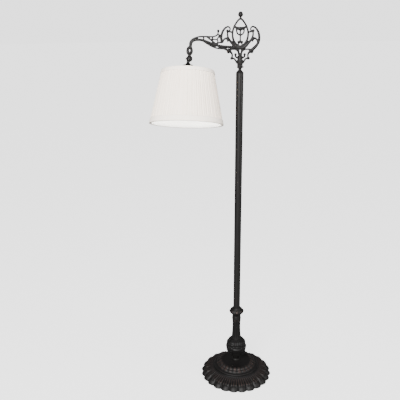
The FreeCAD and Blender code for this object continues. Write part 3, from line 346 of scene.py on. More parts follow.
def carved(shape, relief):
    # moves the skin along its normal by what relief gives for radius, angle and height, in mm;
    # the layer "rub" keeps how worn each place is
    skin = shape.verts.layers.float["skin"]
    rub = shape.verts.layers.float.new("rub")
    shape.normal_update()
    moves = []
    for vert in shape.verts:
        if vert[skin] < 0.5:
            continue
        radius, angle = math.hypot(vert.co.x, vert.co.y), math.atan2(vert.co.y, vert.co.x)
        rise, worn = relief(radius / mm, angle, vert.co.z / mm)
        moves.append((vert, vert.normal * rise * mm, worn))
    for vert, move, worn in moves:
        vert.co += move
        vert[rub] = worn
    return shape


def finished(name, shape, body, slotName, finish, *nodes):
    # a piece whose place is in its mesh
    mesh = bpy.data.meshes.new(name)
    shape.to_mesh(mesh)
    shape.free()
    piece = bpy.data.objects.new(name, mesh)
    bpy.context.collection.objects.link(piece)
    mesh.materials.append(finishes[finish])
    mesh.shade_smooth()
    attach(piece, body)
    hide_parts(*nodes)
    return piece


def thickened(piece, thickness):
    # gives a sheet its thickness, inwards
    thick = piece.modifiers.new("thickness", "SOLIDIFY")
    thick.thickness = thickness * mm
    thick.offset = -1
    return piece


# base casting: 24 scallops with ribs, a raised ring and an egg moulding of two rolls

base = {
    "lobes": 24,
    "ribsPerLobe": 3,
    "steps": 720,
    "lobeDepth": 7.0,
    "ribHeight": 0.9,
    "crown": 1.5,
    "valley": 1.3,
    "vein": 0.25,
    "veinsPerLobe": 9,
    "eggGroove": 2.6,
    "drawnFrom": 112,
    "drawnFully": 152,
    "dome": [(19, 70), (23, 69), (30, 67.2), (42, 65.7), (56, 65.8), (62, 67)],
    "topRoll": [(63.5, 68.4), (66, 69.2), (70, 69), (74, 67.4), (77, 64.6), (78.6, 62)],
    "lowRoll": [(79.4, 61.4), (82, 61.8), (85.2, 60.4), (87.6, 57.6), (88.6, 54.4)],
    "tier": [(90.5, 53), (94, 52.3), (97.4, 51.4), (99.3, 49.6), (99.5, 46), (99.5, 42.6),
             (101, 41.2)],
    "dish": [(104, 39.6), (110, 36.2), (117, 33), (124, 30.6), (131, 28.6), (138, 26),
             (144, 22.2), (150.3, 17), (155.2, 11.6), (158, 7.6)],
    "rim": [(159, 5.4), (158.2, 3.6), (156, 2.3), (152.4, 2)],
    "inside": [(146.5, 2), (146.5, 9), (132.3, 20), (93.5, 38), (93.5, 45), (61, 58),
               (5.1, 58)],
}


def lobePhase(angle, count):
    return (angle / (2 * math.pi) * count) % 1


def baseRelief(radius, angle, height):
    phase = lobePhase(angle, base["lobes"])
    arch = math.sin(math.pi * phase)
    side = abs(phase - 0.5) * 2
    if radius < 62.5:
        return 0.0, 0.35
    if radius < 89.5:
        # eggs: rounded columns with a groove between neighbours
        depth = fade(radius, 62.5, 66) * (1 - fade(radius, 87.6, 89.5))
        egg = arch ** 0.5
        return base["eggGroove"] * (egg - 1) * depth, 0.25 + 0.65 * egg * depth
    if radius < 101.5:
        return 0.0, 0.3 + 0.45 * hump(height, 50.6, 1.6)
    ribs = math.cos(2 * math.pi * base["ribsPerLobe"] * (phase - 0.5))
    inField = fade(radius, 102, 108) * (1 - fade(radius, 138, 148))
    leafy = fade(radius, 124, 142)
    crown = base["crown"] * (arch - 0.6) * fade(radius, 106, 146)
    groove = -base["valley"] * hump(side, 1, 0.16) * fade(radius, 112, 140)
    curl = leafy * (0.8 * hump(side, 0, 0.42) * hump(radius, 149, 4.2)
                    - 1.1 * hump(side, 0.52, 0.2) * hump(radius, 143.5, 3.4)
                    + 0.9 * hump(side, 0.62, 0.22) * hump(radius, 136.5, 3.6)
                    - 0.9 * hump(side, 0, 0.2) * hump(radius, 140.5, 3.0))
    veins = base["vein"] * math.cos(2 * math.pi * base["veinsPerLobe"] * (phase - 0.5))
    veins *= fade(radius, 140, 147)
    rise = base["ribHeight"] * ribs * inField + crown + groove + curl + veins
    if height < 5:
        rise *= fade(height, 1.9, 5)
    return rise, 0.46 + (0.14 + 0.3 * ribs) * inField + 0.12 * rise


def makeBase():
    parts = curveThrough(base["dome"], 2)[:-1] + curveThrough(base["topRoll"], 3)
    parts += curveThrough(base["lowRoll"], 3) + curveThrough(base["tier"], 2)
    parts += curveThrough(base["dish"] + base["rim"], 4)
    outside = [(5.1, 70)] + [tuple(point) for point in parts]
    shape = carved(spun(outside, base["inside"], base["steps"]), baseRelief)
    # the outline of the scallops: drawn in towards each valley
    skin = shape.verts.layers.float["skin"]
    for vert in shape.verts:
        radius = math.hypot(vert.co.x, vert.co.y) / mm
        if vert[skin] > 0.5 and radius > base["drawnFrom"]:
            arch = math.sin(math.pi * lobePhase(math.atan2(vert.co.y, vert.co.x), base["lobes"]))
            drawn = fade(radius, base["drawnFrom"], base["drawnFully"])
            inward = base["lobeDepth"] * (1 - arch ** 0.7) * drawn
            shrink = 1 - inward / radius
            vert.co.x *= shrink
            vert.co.y *= shrink
    return finished("baseCasting", shape, "stand", "bronzed_casting", "casting", "base_casting")


makeBase()
print("base made")


# urn, stem and knop: turned castings with carved leaves and flutes

urn = {
    "steps": 360,
    "ribs": 20,
    "fluteRise": 1.3,
    "ringRise": 1.1,
    "leafRise": 2.5,
    "profile": [(30, 108), (37.6, 108.2), (39.6, 109.6), (40.2, 113), (41.4, 118), (43.8, 125),
                (45.4, 131), (46.3, 137), (46.3, 143), (44.4, 148.5), (42.8, 154), (42.0, 160),
                (40.6, 166), (37.4, 172), (33.4, 176.4), (28, 179.6), (24.2, 181.6),
                (22.6, 182.4), (22, 183)],
    "rings": (166, 155, 144, 121),
    "leafLobes": ((172, 4.5, 5.5), (162, 8.5, 5.5), (148, 9.5, 6.5), (133, 9.0, 7.0),
                  (119, 6.5, 6.0)),
}


def urnRelief(radius, angle, height):
    if radius < 23:
        return 0.0, 0.2
    # four fluted panels on the axes, and four broad leaves between them
    quarter = ((angle + math.pi / 4) % (math.pi / 2)) - math.pi / 4
    panel = 1 - fade(abs(quarter), math.radians(19), math.radians(27))
    rib = math.cos(urn["ribs"] * (angle + math.pi / 2) + math.pi)
    flutes = urn["fluteRise"] * rib * fade(height, 152, 160)
    rings = sum(urn["ringRise"] * hump(height, level, 2.3) for level in urn["rings"])
    rings -= 0.5 * fade(height, 110, 118) * (1 - fade(height, 165, 170))
    fromLeaf = math.pi / 4 - abs(quarter)
    across = fromLeaf * radius
    rise = 1.2 * hump(across, 0, 1.6) * (1 - fade(height, 170, 178))
    hollow = 0.0
    for level, offset, spread in urn["leafLobes"]:
        rise += (urn["leafRise"] * hump(across, offset, 3.6)
                 * hump(height, level, spread * 0.62))
        hollow += 1.2 * hump(across, offset * 0.5, 1.6) * hump(height, level + 5.5, 2.6)
    bottom = fade(height, 108.2, 112) * (1 - fade(height, 178, 182))
    carvedBy = (panel * (flutes + rings) + (1 - panel) * (rise - hollow - 0.9)) * bottom
    return carvedBy, 0.35 + 0.22 * carvedBy


stem = {
    "steps": 288,
    "flutes": 12,
    "fluteDepth": 1.2,
    "leaves": 8,
    "profile": [(21.4, 183), (23.0, 185), (22.0, 190), (20.5, 198), (19.2, 212), (18.3, 230),
                (17.9, 248), (18.0, 262), (18.4, 272), (18.8, 277), (19.2, 284), (20.0, 286.4),
                (20.2, 288.6), (19.6, 291), (18.9, 293), (19.0, 296), (18.6, 298.4), (17.6, 300)],
}


def stemRelief(radius, angle, height):
    flute = abs(math.sin(stem["flutes"] * angle / 2))
    run = fade(height, 184, 190) * (1 - fade(height, 266, 276))
    rise = -stem["fluteDepth"] * (1 - flute ** 0.55) * run
    # small leaves under the collar, their tips pointing down
    phase = lobePhase(angle + math.pi / 2, stem["leaves"]) - 0.5
    tip = 272 + 10 * min(abs(phase) * 2.4, 1) ** 1.5
    leaf = fade(height, tip - 2, tip + 2) * (1 - fade(height, 283, 287))
    rise += leaf * (0.9 * math.cos(math.pi * phase) ** 2 + 0.5 * hump(phase, 0, 0.07))
    return rise, 0.4 + 0.3 * leaf + 0.2 * rise


knop = {
    "steps": 288,
    "eggs": 8,
    "eggRise": 1.9,
    "profile": [(17.2, 300), (17.8, 301.4), (19.6, 304.6), (22.8, 309), (26.4, 313.2),
                (29.6, 316.8), (31.0, 319.6), (31.3, 321.8), (30.6, 324.4), (28.6, 327.8),
                (25.4, 331.6), (21.6, 335), (18.6, 337.4), (17.2, 339.2), (17, 340.4), (17, 342)],
}


def knopRelief(radius, angle, height):
    phase = lobePhase(angle + math.pi / 2 + math.pi / knop["eggs"], knop["eggs"]) - 0.5
    field = fade(height, 317, 321) * (1 - fade(height, 334.5, 337.5))
    oval = max(0.0, 1 - (phase / 0.3) ** 2 - ((height - 326.5) / 6.5) ** 2) ** 0.5
    rise = field * (knop["eggRise"] * oval - 0.3)
    under = -0.35 * fade(height, 303, 306) * (1 - fade(height, 314, 317))
    return rise + under, 0.4 + 0.6 * oval * field


def makeTurned(name, sizes, relief, node):
    profile = [tuple(point) for point in curveThrough(sizes["profile"], 4)]
    low, high = profile[0][1], profile[-1][1]
    inside = [(5.1, high), (5.1, low)]
    shape = carved(spun(profile, inside, sizes["steps"]), relief)
    return finished(name, shape, "stand", "bronzed_casting", "casting", node)


makeTurned("urnCasting", urn, urnRelief, "urn_casting")
makeTurned("stemCasting", stem, stemRelief, "stem_casting")
makeTurned("knopCasting", knop, knopRelief, "knop_ring")
print("stand ornaments made")


# bridge casting: strands in the plane y = 0, fused into one skin

# datum, half, tall, reach, armTall, voxel and wornAt are metres; depth and channel are shares
bridge = {
    "datum": 1.4005,
    "half": 0.075,
    "tall": 0.175,
    "reach": 0.197,
    "armTall": 0.111,
    "strand": 7.7,
    "depth": 0.95,
    "channel": 1.3,
    "voxel": 0.00105,
    "easing": 3,
    "wornAt": 3.8 * mm,
}

# each strand: points as shares, widths along it as shares of the strand
lyreStrands = {
    "ogive": ([(0, 0.992), (0.116, 0.955), (0.22, 0.895), (0.307, 0.833), (0.377, 0.747),
               (0.4, 0.671), (0.379, 0.585), (0.321, 0.513), (0.21, 0.45)], (1, 0.95, 1, 1.3)),
    "inner": ([(0.65, 0.72), (0.655, 0.67), (0.635, 0.61), (0.56, 0.547), (0.42, 0.474),
               (0.257, 0.402), (0.117, 0.372), (0, 0.366)], (0.8, 1, 1.6, 1.6)),
    "ear": ([(0.533, 0.745), (0.53, 0.787), (0.607, 0.82), (0.709, 0.812), (0.82, 0.775),
             (0.915, 0.71), (0.965, 0.634), (0.97, 0.55), (0.92, 0.476), (0.816, 0.409),
             (0.699, 0.361), (0.6, 0.32)], (0.7, 0.9, 1.2, 1.4, 1.9)),
    "leafStem": ([(0.62, 0.568), (0.74, 0.575), (0.84, 0.552), (0.9, 0.495)], (1.5, 1, 0.8)),
    "arch": ([(0.1, 0.3), (0.2, 0.332), (0.352, 0.344), (0.54, 0.334), (0.633, 0.315)],
             (1, 0.8, 1.1)),
    "outer": ([(0.6, 0.33), (0.5, 0.293), (0.417, 0.242), (0.407, 0.193), (0.43, 0.155)],
              (1.5, 1, 0.8)),
    "tail": ([(0.43, 0.152), (0.307, 0.142), (0.224, 0.1), (0.14, 0.045)], (1, 0.9, 1.1)),
    "curl": ([(0.235, 0.228), (0.232, 0.19), (0.165, 0.168), (0.06, 0.175)], (0.9, 0.9, 1.3)),
    "root": ([(0.14, 0.38), (0.09, 0.3), (0.055, 0.235), (0.045, 0.13)], (1.5, 1.1, 1.3)),
    "tie": ([(0.4, 0.7), (0.52, 0.715), (0.64, 0.722)], (0.9, 0.9)),
    "strut": ([(0, 0.51), (0.06, 0.475), (0.125, 0.43)], (0.8, 0.8)),
}
centreStrands = {
    "crescent": ([(-0.3, 0.822), (-0.15, 0.79), (0, 0.778), (0.15, 0.79), (0.3, 0.822)],
                 (0.9, 2, 0.9)),
    "ring": ([(-0.2, 0.775), (-0.173, 0.7), (-0.093, 0.659), (0, 0.647), (0.093, 0.659),
              (0.173, 0.7), (0.2, 0.775)], (0.8, 0.8)),
    "post": ([(0, 0.78), (0, 0.64), (0, 0.5)], (0.75, 0.8)),
    "bar": ([(-0.1, 0.498), (0, 0.51), (0.1, 0.498)], (0.9, 1.2, 0.9)),
    "bowl": ([(-0.25, 0.462), (-0.12, 0.41), (0, 0.398), (0.12, 0.41), (0.25, 0.462)],
             (1.2, 1.6, 1.2)),
}
# knobs: place and radius, all as shares
lyreKnobs = {
    "scroll": (0.66, 0.735, 0.72),
    "curl": (0.235, 0.231, 0.7),
    "side": (0.43, 0.15, 0.75),
    "ear": (0.6, 0.318, 0.9),
    "bar": (0.1, 0.498, 0.6),
}
spurKnob = (0.431, 1.16, 0.66)
# leaves: root, direction (0 along +X, 90 up), lengths of the fronds and the angle between them
lyreLeaves = {
    "underScroll": (0.63, 0.565, -86, (8, 12, 7), 30),
    "earFoot": (0.6, 0.31, -72, (10, 10, 8), 34),
    "sideFoot": (0.44, 0.15, -40, (5, 5.5, 5), 55),
    "ogiveFoot": (0.3, 0.45, 205, (6, 7), 30),
    "earSide": (0.965, 0.52, 205, (6, 6), 34),
    "earBack": (0.6, 0.33, 60, (5,), 0),
}
armStrands = {
    "topRail": ([(0.985, 0.66), (0.98, 0.77), (0.951, 0.862), (0.9, 0.92), (0.838, 0.957),
                 (0.78, 0.975), (0.673, 0.975), (0.552, 0.968), (0.485, 0.99), (0.442, 1.045),
                 (0.43, 1.13)], (1.1, 0.85, 0.8, 0.75)),
    "lowRail": ([(0.72, 0.815), (0.62, 0.707), (0.56, 0.65), (0.467, 0.588), (0.396, 0.568),
                 (0.315, 0.563), (0.245, 0.51)], (0.7, 0.8, 0.8, 1.2)),
    "midRail": ([(0.62, 0.892), (0.543, 0.881), (0.457, 0.869), (0.439, 0.811), (0.457, 0.748),
                 (0.49, 0.71)], (0.65, 0.75)),
    "diagonal": ([(0.655, 0.965), (0.6, 0.9), (0.548, 0.829), (0.497, 0.748),
                  (0.447, 0.69)], (0.7, 1.1)),
    "spurFork": ([(0.417, 1.045), (0.4, 0.96), (0.375, 0.9)], (0.9, 0.8)),
    "spurRoot": ([(0.411, 0.99), (0.442, 0.91), (0.452, 0.86)], (0.8, 0.65)),
    "strutA": ([(0.72, 0.98), (0.715, 0.91), (0.71, 0.85)], (0.8, 0.8)),
    "strutB": ([(0.543, 0.97), (0.543, 0.93), (0.543, 0.885)], (0.7, 0.7)),
    "strutC": ([(0.56, 0.73), (0.556, 0.68), (0.552, 0.64)], (0.7, 0.7)),
    "strutD": ([(0.493, 0.69), (0.495, 0.64), (0.497, 0.6)], (0.8, 0.8)),
    "strutE": ([(0.401, 0.67), (0.404, 0.62), (0.406, 0.57)], (0.8, 0.8)),
    "strutF": ([(0.477, 0.73), (0.42, 0.762), (0.36, 0.79)], (0.8, 0.8)),
}
# the raised channel for the lead, from the cup to the eye
conduit = [(0, 0.58), (0.15, 0.61), (0.31, 0.635), (0.373, 0.65), (0.465, 0.68), (0.556, 0.735),
           (0.647, 0.8), (0.738, 0.85), (0.823, 0.872), (0.902, 0.855), (0.95, 0.79),
           (0.966, 0.7), (0.968, 0.62)]


def addStrand(shape, points, widths, flatten=1.0):
    # a tapering round strand; flatten scales its depth
    line = curveThrough(points, 6)
    curve = bpy.data.curves.new("strand", "CURVE")
    curve.dimensions = "3D"
    curve.bevel_depth = 1.0
    curve.bevel_resolution = 3
    curve.use_fill_caps = True
    spline = curve.splines.new("POLY")
    spline.points.add(len(line) - 1)
    for index, place in enumerate(line):
        along = index / (len(line) - 1) * (len(widths) - 1)
        first = min(int(along), len(widths) - 2)
        width = widths[first] + (widths[first + 1] - widths[first]) * (along - first)
        spline.points[index].co = (*place, 1)
        spline.points[index].radius = width * bridge["strand"] * mm / 2
    holder = bpy.data.objects.new("strand", curve)
    mesh = bpy.data.meshes.new_from_object(holder)
    if flatten != 1.0:
        mesh.transform(Matrix.Diagonal((1, flatten, 1, 1)))
    shape.from_mesh(mesh)
    bpy.data.meshes.remove(mesh)
    bpy.data.objects.remove(holder)
    bpy.data.curves.remove(curve)


def addKnob(shape, place, radius, flatten=1.0):
    turn = Matrix.Translation(place) @ Matrix.Diagonal((1, flatten, 1, 1))
    bmesh.ops.create_icosphere(shape, subdivisions=3, radius=radius, matrix=turn)


def addLeaf(shape, root, heading, fronds, spread):
    # a small leaf: fronds fanned out about its heading, each a tapering strand
    for index, length in enumerate(fronds):
        turn = math.radians(heading + spread * (index - (len(fronds) - 1) / 2))
        away = Vector((math.cos(turn), 0, math.sin(turn)))
        bend = Vector((-away.z, 0, away.x)) * 0.15 * (index - (len(fronds) - 1) / 2)
        points = [root, root + (away + bend * 0.4) * length * mm * 0.5,
                  root + (away + bend) * length * mm]
        addStrand(shape, points, (0.9, 1.05, 0.55), 1.1)


def lyreAt(place, side=1):
    across = side * place[0] * bridge["half"]
    return Vector((across, 0, bridge["datum"] + place[1] * bridge["tall"]))


def armAt(place):
    along = -place[0] * bridge["reach"]
    return Vector((along, 0, bridge["datum"] + place[1] * bridge["armTall"]))


# the swivel leans with the arm, and the shade hangs tilted from it
head = {"lean": 2.2, "tilt": 16.2, "offset": 4.6}
tilting = next(joint for joint in frame["joints"] if joint["name"] == "shade_tilt")
ballCentre = Vector(tilting["pos_m"])
swivelPlace = Matrix.Translation(ballCentre) @ Matrix.Rotation(math.radians(head["lean"]), 4, "Y")
holderPlace = (swivelPlace @ Matrix.Rotation(-math.radians(head["tilt"]), 4, "X")
               @ Matrix.Rotation(math.pi, 4, "X")
               @ Matrix.Translation((-head["offset"] * mm, 0, 0)))

eye = {
    "centre": 30.6,
    "ringWide": 7.6,
    "ringTall": 12.4,
    "shift": 0.8,
    "steps": 24,
    "widths": (1.45, 1.5, 1.85, 1.5, 1.45),
    "boss": [(3.9, 16.6), (7.0, 16.6), (7.4, 18), (8.2, 22), (7.2, 26), (3.9, 26)],
}

cup = {
    "steps": 96,
    "leaves": 6,
    "outside": [(8.4, -12), (9.6, -11.4), (11.3, -9), (11.2, -4), (11.0, 2), (11.8, 9),
                (11.4, 18), (9.2, 28), (6.6, 36), (3.4, 41.5)],
    "top": 42.5,
    "bore": [(0, 20), (5.25, 20), (5.25, -12)],
}


def cupRelief(radius, angle, height):
    phase = lobePhase(angle, cup["leaves"]) - 0.5
    level = height - bridge["datum"] / mm
    blade = fade(level, -8, -2) * (1 - fade(level, 14, 26))
    vein = 0.6 * hump(phase, 0, 0.08) * blade
    return 1.5 * (math.cos(math.pi * phase) ** 0.6 - 0.62) * blade + vein, 0.5


def makeBridge():
    shape = bmesh.new()
    deep = bridge["depth"]
    for side in (1, -1):
        for name, (points, widths) in lyreStrands.items():
            if name == "ear" and side == -1:
                points, widths = points[:9], widths[:4]
            addStrand(shape, [lyreAt(point, side) for point in points], widths, deep)
        for u, v, share in lyreKnobs.values():
            addKnob(shape, lyreAt((u, v), side), share * bridge["strand"] * mm, 0.9)
        for u, v, heading, fronds, spread in lyreLeaves.values():
            turn = heading if side == 1 else 180 - heading
            addLeaf(shape, lyreAt((u, v), side), turn, fronds, spread * side)
    for points, widths in centreStrands.values():
        addStrand(shape, [lyreAt(point) for point in points], widths, deep)
    for points, widths in armStrands.values():
        addStrand(shape, [armAt(point) for point in points], widths, deep)
    addKnob(shape, armAt(spurKnob[:2]), spurKnob[2] * bridge["strand"] * mm, 0.9)
    addStrand(shape, [armAt(point) for point in conduit], (bridge["channel"],) * 2)
    # the eye: an oval loop that is heavier outside its hole, over a turned boss
    around = []
    for step in range(eye["steps"] + 1):
        turn = 2 * math.pi * step / eye["steps"]
        around.append(swivelPlace @ Vector((
            eye["ringWide"] * math.sin(turn) * mm + eye["shift"] * mm * 0.3, 0,
            (eye["centre"] + eye["ringTall"] * math.cos(turn)) * mm)))
    addStrand(shape, around, eye["widths"])
    # the turned parts: the boss over the eye's foot, and the leafy cup
    boss = spun(eye["boss"], [], 48)
    bmesh.ops.transform(boss, matrix=swivelPlace, verts=boss.verts)
    lift = bridge["datum"] / mm
    outside = [tuple(point) for point in curveThrough(cup["outside"], 3)] + [(0, cup["top"])]
    cupShape = carved(spun([(radius, level + lift) for radius, level in outside],
                           [(radius, level + lift) for radius, level in cup["bore"]],
                           cup["steps"]), cupRelief)
    for turned in (boss, cupShape):
        mesh = bpy.data.meshes.new("turned")
        turned.to_mesh(mesh)
        turned.free()
        shape.from_mesh(mesh)
        bpy.data.meshes.remove(mesh)
    # one skin over all of it
    rough = bpy.data.meshes.new("rough")
    shape.to_mesh(rough)
    shape.free()
    holder = bpy.data.objects.new("rough", rough)
    bpy.context.collection.objects.link(holder)
    skin = holder.modifiers.new("skin", "REMESH")
    skin.mode = "VOXEL"
    skin.voxel_size = bridge["voxel"]
    ease = holder.modifiers.new("ease", "SMOOTH")
    ease.factor = 0.5
    ease.iterations = bridge["easing"]
    evaluated = holder.evaluated_get(bpy.context.evaluated_depsgraph_get())
    fused = bmesh.new()
    fused.from_mesh(bpy.data.meshes.new_from_object(evaluated))
    bpy.data.objects.remove(holder)
    # wear: the parts that stand out from the middle plane are rubbed
    rub = fused.verts.layers.float.new("rub")
    for vert in fused.verts:
        out = min(abs(vert.co.y) / bridge["wornAt"], 1.3)
        grain = noise.noise(vert.co * 180)
        vert[rub] = min(1.0, 0.25 + 0.22 * out * out + 0.25 * grain)
    return finished("bridgeCasting", fused, "bridge", "bronzed_casting", "casting",
                    "bridge_casting")


bridgePiece = makeBridge()
print("bridge made,", len(bridgePiece.data.polygons), "faces")


# shade: pleated cover, edge bands and lining

shade = {
    "top": 47.5,
    "height": 207.5,
    "topRadius": 103.5,
    "radius": 145.6,
    "hem": 1.4,
}

pleated = {
    "pleats": 44,
    "perPleat": 16,
    "levels": 22,
    "depth": 3.2,
    "lowDepth": 1.2,
    "sway": 0.08,
    "thickness": 0.6,
}

band = {
    "wall": 0.8,
    "turn": 0.8,
    "puff": 0.75,
    "topTall": 15.0,
    "lowTall": 22.0,
    "topLip": 5.5,
    "lowLip": 9.25,
    "pucker": 0.22,
}

innerCloth = {
    "inset": 8.2,
    "top": 5.6,
    "ribs": 6,
    "pull": 0.8,
    "gathers": 140,
    "gatherDepth": 0.18,
    "thickness": 0.4,
}

# metres: how far the cloths run down the shade, and the mean radius that their maps unroll
cloth = {
    "coverDown": 0.2088,
    "liningDown": 0.2041,
    "mapRadius": 0.125,
}


def coneRadius(level):
    share = level / shade["height"]
    return shade["topRadius"] + (shade["radius"] - shade["topRadius"]) * share


def mapRound(shape):
    # UV in metres: round the shade and down it
    uv = shape.loops.layers.uv.new("UVMap")
    for face in shape.faces:
        angles = [math.atan2(loop.vert.co.y, loop.vert.co.x) for loop in face.loops]
        wide = max(angles) - min(angles) > math.pi
        for loop, angle in zip(face.loops, angles):
            if wide and angle < 0:
                angle += 2 * math.pi
            loop[uv].uv = (angle * cloth["mapRadius"], loop.vert.co.z)


def ringStack(radiusOf, levels, steps):
    # rings of one cone joined into an open sleeve, closed round
    shape = bmesh.new()
    loop = [shape.verts.new((radiusOf(0, level) * mm, 0, (shade["top"] + level) * mm))
            for level in levels]
    edges = [shape.edges.new(pair) for pair in zip(loop, loop[1:])]
    bmesh.ops.spin(shape, geom=loop + edges, cent=(0, 0, 0), axis=(0, 0, 1), dvec=(0, 0, 0),
                   angle=2 * math.pi, steps=steps, use_merge=True)
    for vert in shape.verts:
        angle = math.atan2(vert.co.y, vert.co.x)
        level = vert.co.z / mm - shade["top"]
        radius = radiusOf(angle, level) * mm
        vert.co.x, vert.co.y = radius * math.cos(angle), radius * math.sin(angle)
    return shape


def pleatRadius(angle, level):
    # a deep fold and a shallow one by turns, with soft ridges between them; none is quite alike
    place = angle / (2 * math.pi) * pleated["pleats"]
    sway = pleated["sway"] * noise.noise(
        Vector((math.cos(angle) * 5, math.sin(angle) * 5, level * 0.006)))
    phase = (place + sway) % 1
    number = int(place + sway) % pleated["pleats"]
    depth = pleated["lowDepth"] if phase < 0.5 else pleated["depth"]
    depth *= 0.9 + 0.3 * noise.noise(Vector((number * 1.7, 3.1, 0.4)))
    return coneRadius(level) - 1.0 - depth * (1 - abs(math.cos(2 * math.pi * phase)) ** 0.8)


def makeCover():
    hem, count = shade["hem"], pleated["levels"]
    levels = [hem + (shade["height"] - 2 * hem) * step / count for step in range(count + 1)]
    shape = ringStack(pleatRadius, levels, pleated["pleats"] * pleated["perPleat"])
    mapRound(shape)
    bmesh.ops.recalc_face_normals(shape, faces=shape.faces)
    bmesh.ops.transform(shape, matrix=holderPlace, verts=shape.verts)
    piece = finished("shadeCover", shape, "shade_head", "pleated_cloth", "cover", "shade_cover")
    return thickened(piece, pleated["thickness"])


def bandProfile(level, length, lipAt):
    # a folded band: its outer face, rolled over the rim and a short turn inside
    wall, turn = band["wall"], band["turn"]
    down = 1 if lipAt == 0 else -1
    start = level if lipAt == 0 else level + length
    outer = []
    for step in range(9):
        share = step / 8
        along = start + down * (length - turn) * (1 - share)
        puff = band["puff"] * math.sin(math.pi * share) ** 0.5
        outer.append((coneRadius(along) - 0.25 + puff, along))
    lip = band["topLip" if lipAt == 0 else "lowLip"]
    inner = [(coneRadius(start) - 0.7, start + down * 0.05),
             (coneRadius(start) - lip + 0.4, start + down * 0.05),
             (coneRadius(start) - lip, start + down * 0.4),
             (coneRadius(start) - lip + 0.4, start + down * turn),
             (coneRadius(start) - wall, start + down * turn)]
    back = [(coneRadius(start + down * (length - turn)) - wall, start + down * (length - turn))]
    return outer + inner + back


def makeBand(name, level, length, lipAt, node):
    profile = [(r, z + shade["top"]) for r, z in bandProfile(level, length, lipAt)]
    shape = spun(profile, [], 360)
    # faint puckers where the band is drawn round the edge
    for vert in shape.verts:
        angle = math.atan2(vert.co.y, vert.co.x)
        ripple = noise.noise(Vector((math.cos(angle) * 9, math.sin(angle) * 9, vert.co.z * 60)))
        scale = 1 + band["pucker"] * mm * ripple / max(math.hypot(vert.co.x, vert.co.y), 1e-6)
        vert.co.x *= scale
        vert.co.y *= scale
    mapRound(shape)
    bmesh.ops.transform(shape, matrix=holderPlace, verts=shape.verts)
    return finished(name, shape, "shade_head", "braid", "braid", node)


def makeLining():
    def liningRadius(angle, level):
        # drawn a little straight between the wires, and gathered at both ends
        pull = innerCloth["pull"] * abs(math.sin(innerCloth["ribs"] * angle / 2)) * math.sin(
            math.pi * level / shade["height"])
        fine = (innerCloth["gatherDepth"] * math.sin(angle * innerCloth["gathers"])
                * (hump(level, 0, 24) + hump(level, 207, 24)))
        return coneRadius(level) - innerCloth["inset"] - pull + fine
    top = innerCloth["top"]
    levels = [top + (shade["height"] - shade["hem"] - top) * step / 16 for step in range(17)]
    shape = ringStack(liningRadius, levels, 560)
    mapRound(shape)
    bmesh.ops.recalc_face_normals(shape, faces=shape.faces)
    bmesh.ops.transform(shape, matrix=holderPlace, verts=shape.verts)
    piece = finished("shadeLining", shape, "shade_head", "lining_cloth", "lining",
                     "shade_lining")
    return thickened(piece, innerCloth["thickness"])


cover = makeCover()
bands = [makeBand("topBand", 0, band["topTall"], 0, "trim_top"),
         makeBand("lowBand", shade["height"] - band["lowTall"], band["lowTall"], 1,
                  "trim_bottom")]
lining = makeLining()
print("shade made")


# felt pad

# fringe, fray and flat are metres, and area is square metres
pad = {
    "profile": [(0.0, 0.05), (147.2, 0.05), (148.2, 0.5), (148.5, 1.2), (148.0, 1.9),
                (0.0, 1.95)],
    "steps": 180,
    "fringe": 0.146,
    "fray": 0.0002,
    "flat": 0.297,
    "area": 0.0693,
}


def makeFelt():
    # a flat disc whose edge is cut a little unevenly
    shape = spun(pad["profile"], [], pad["steps"])
    for vert in shape.verts:
        radius = math.hypot(vert.co.x, vert.co.y)
        if radius > pad["fringe"]:
            vert.co.x += pad["fray"] * noise.noise(vert.co * 300)
            vert.co.y += pad["fray"] * noise.noise(vert.co * 300 + Vector((7, 1, 3)))
    return finished("feltPad", shape, "stand", "felt", "felt", "base_felt")


felt = makeFelt()
print("felt made")


# stage: pale floor, soft light and the camera of the photograph

# lengths of the stage are metres
studio = {
    "floor": 0.3,
    "ambient": 0.3,
    "backdrop": 2.3,
    "floorRadius": 40.0,
    "lights": {
        "softboxHigh": ((-1.1, -3.3, 2.7), (0, 0, 1.0), (2.0, 1.8), 640),
        "softboxSide": ((2.4, -1.2, 1.8), (0, 0, 1.2), (1.0, 2.0), 80),
    },
    "camera": (-0.1604, -2.2229, 1.5742),
    "pitch": 18.088,
    "roll": -0.499,
    "focalPixels": 555.0,
    "framePixels": 400.0,
    "sensor": 36.0,
    "farthest": 200,
}


def seen(paint):
    # 1 where the eye looks straight at the backdrop, 0 where the object gets its light from it
    return paint.add("ShaderNodeLightPath")


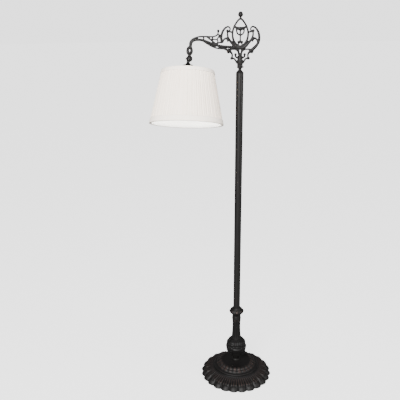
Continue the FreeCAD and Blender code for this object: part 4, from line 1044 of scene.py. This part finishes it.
def makeStage():
    shape = bmesh.new()
    bmesh.ops.create_circle(shape, cap_ends=True, segments=96, radius=studio["floorRadius"])
    mesh = bpy.data.meshes.new("floor")
    shape.to_mesh(mesh)
    shape.free()
    floor = bpy.data.objects.new("floor", mesh)
    bpy.context.collection.objects.link(floor)
    paint = Paint("paleFloor", Specular_IOR_Level=0.1, Emission_Strength=studio["backdrop"])
    cloud = paint.speckle(0.6, 2.0, 0.5)
    tone = paint.mixed(cloud, colour(*[studio["floor"]] * 3),
                       colour(*[studio["floor"] * 0.9] * 3))
    white = paint.mixed(seen(paint), colour(0.0, 0.0, 0.0), colour(1.0, 1.0, 1.0))
    mesh.materials.append(paint.feed(Base_Color=tone, Roughness=0.85 + 0.05 * cloud,
                                     Emission_Color=white))
    bpy.context.scene.world = bpy.data.worlds.new("softBox")
    sky = Paint("softBox", bpy.context.scene.world, Color=colour(1.0, 1.0, 1.0))
    sky.feed(Strength=studio["ambient"] + (studio["backdrop"] - studio["ambient"]) * seen(sky))


def addLight(name, place, aim, sides, power):
    light = bpy.data.lights.new(name, "AREA")
    light.shape = "RECTANGLE"
    light.size, light.size_y = sides
    light.energy = power
    lamp = bpy.data.objects.new(name, light)
    lamp.location = place
    lamp.rotation_euler = (Vector(aim) - Vector(place)).to_track_quat("-Z", "Y").to_euler()
    bpy.context.collection.objects.link(lamp)


def makeCamera():
    lens = bpy.data.cameras.new("camera")
    lens.sensor_width = studio["sensor"]
    lens.lens = studio["focalPixels"] * lens.sensor_width / studio["framePixels"]
    camera = bpy.data.objects.new("camera", lens)
    turn = (Matrix.Rotation(math.pi / 2 - math.radians(studio["pitch"]), 4, "X")
            @ Matrix.Rotation(math.radians(studio["roll"]), 4, "Z"))
    camera.matrix_world = Matrix.Translation(studio["camera"]) @ turn
    lens.clip_end = studio["farthest"]
    bpy.context.collection.objects.link(camera)
    bpy.context.scene.camera = camera


makeStage()
for lightName, (place, aim, sides, power) in studio["lights"].items():
    addLight(lightName, place, aim, sides, power)
makeCamera()
print("stage made")
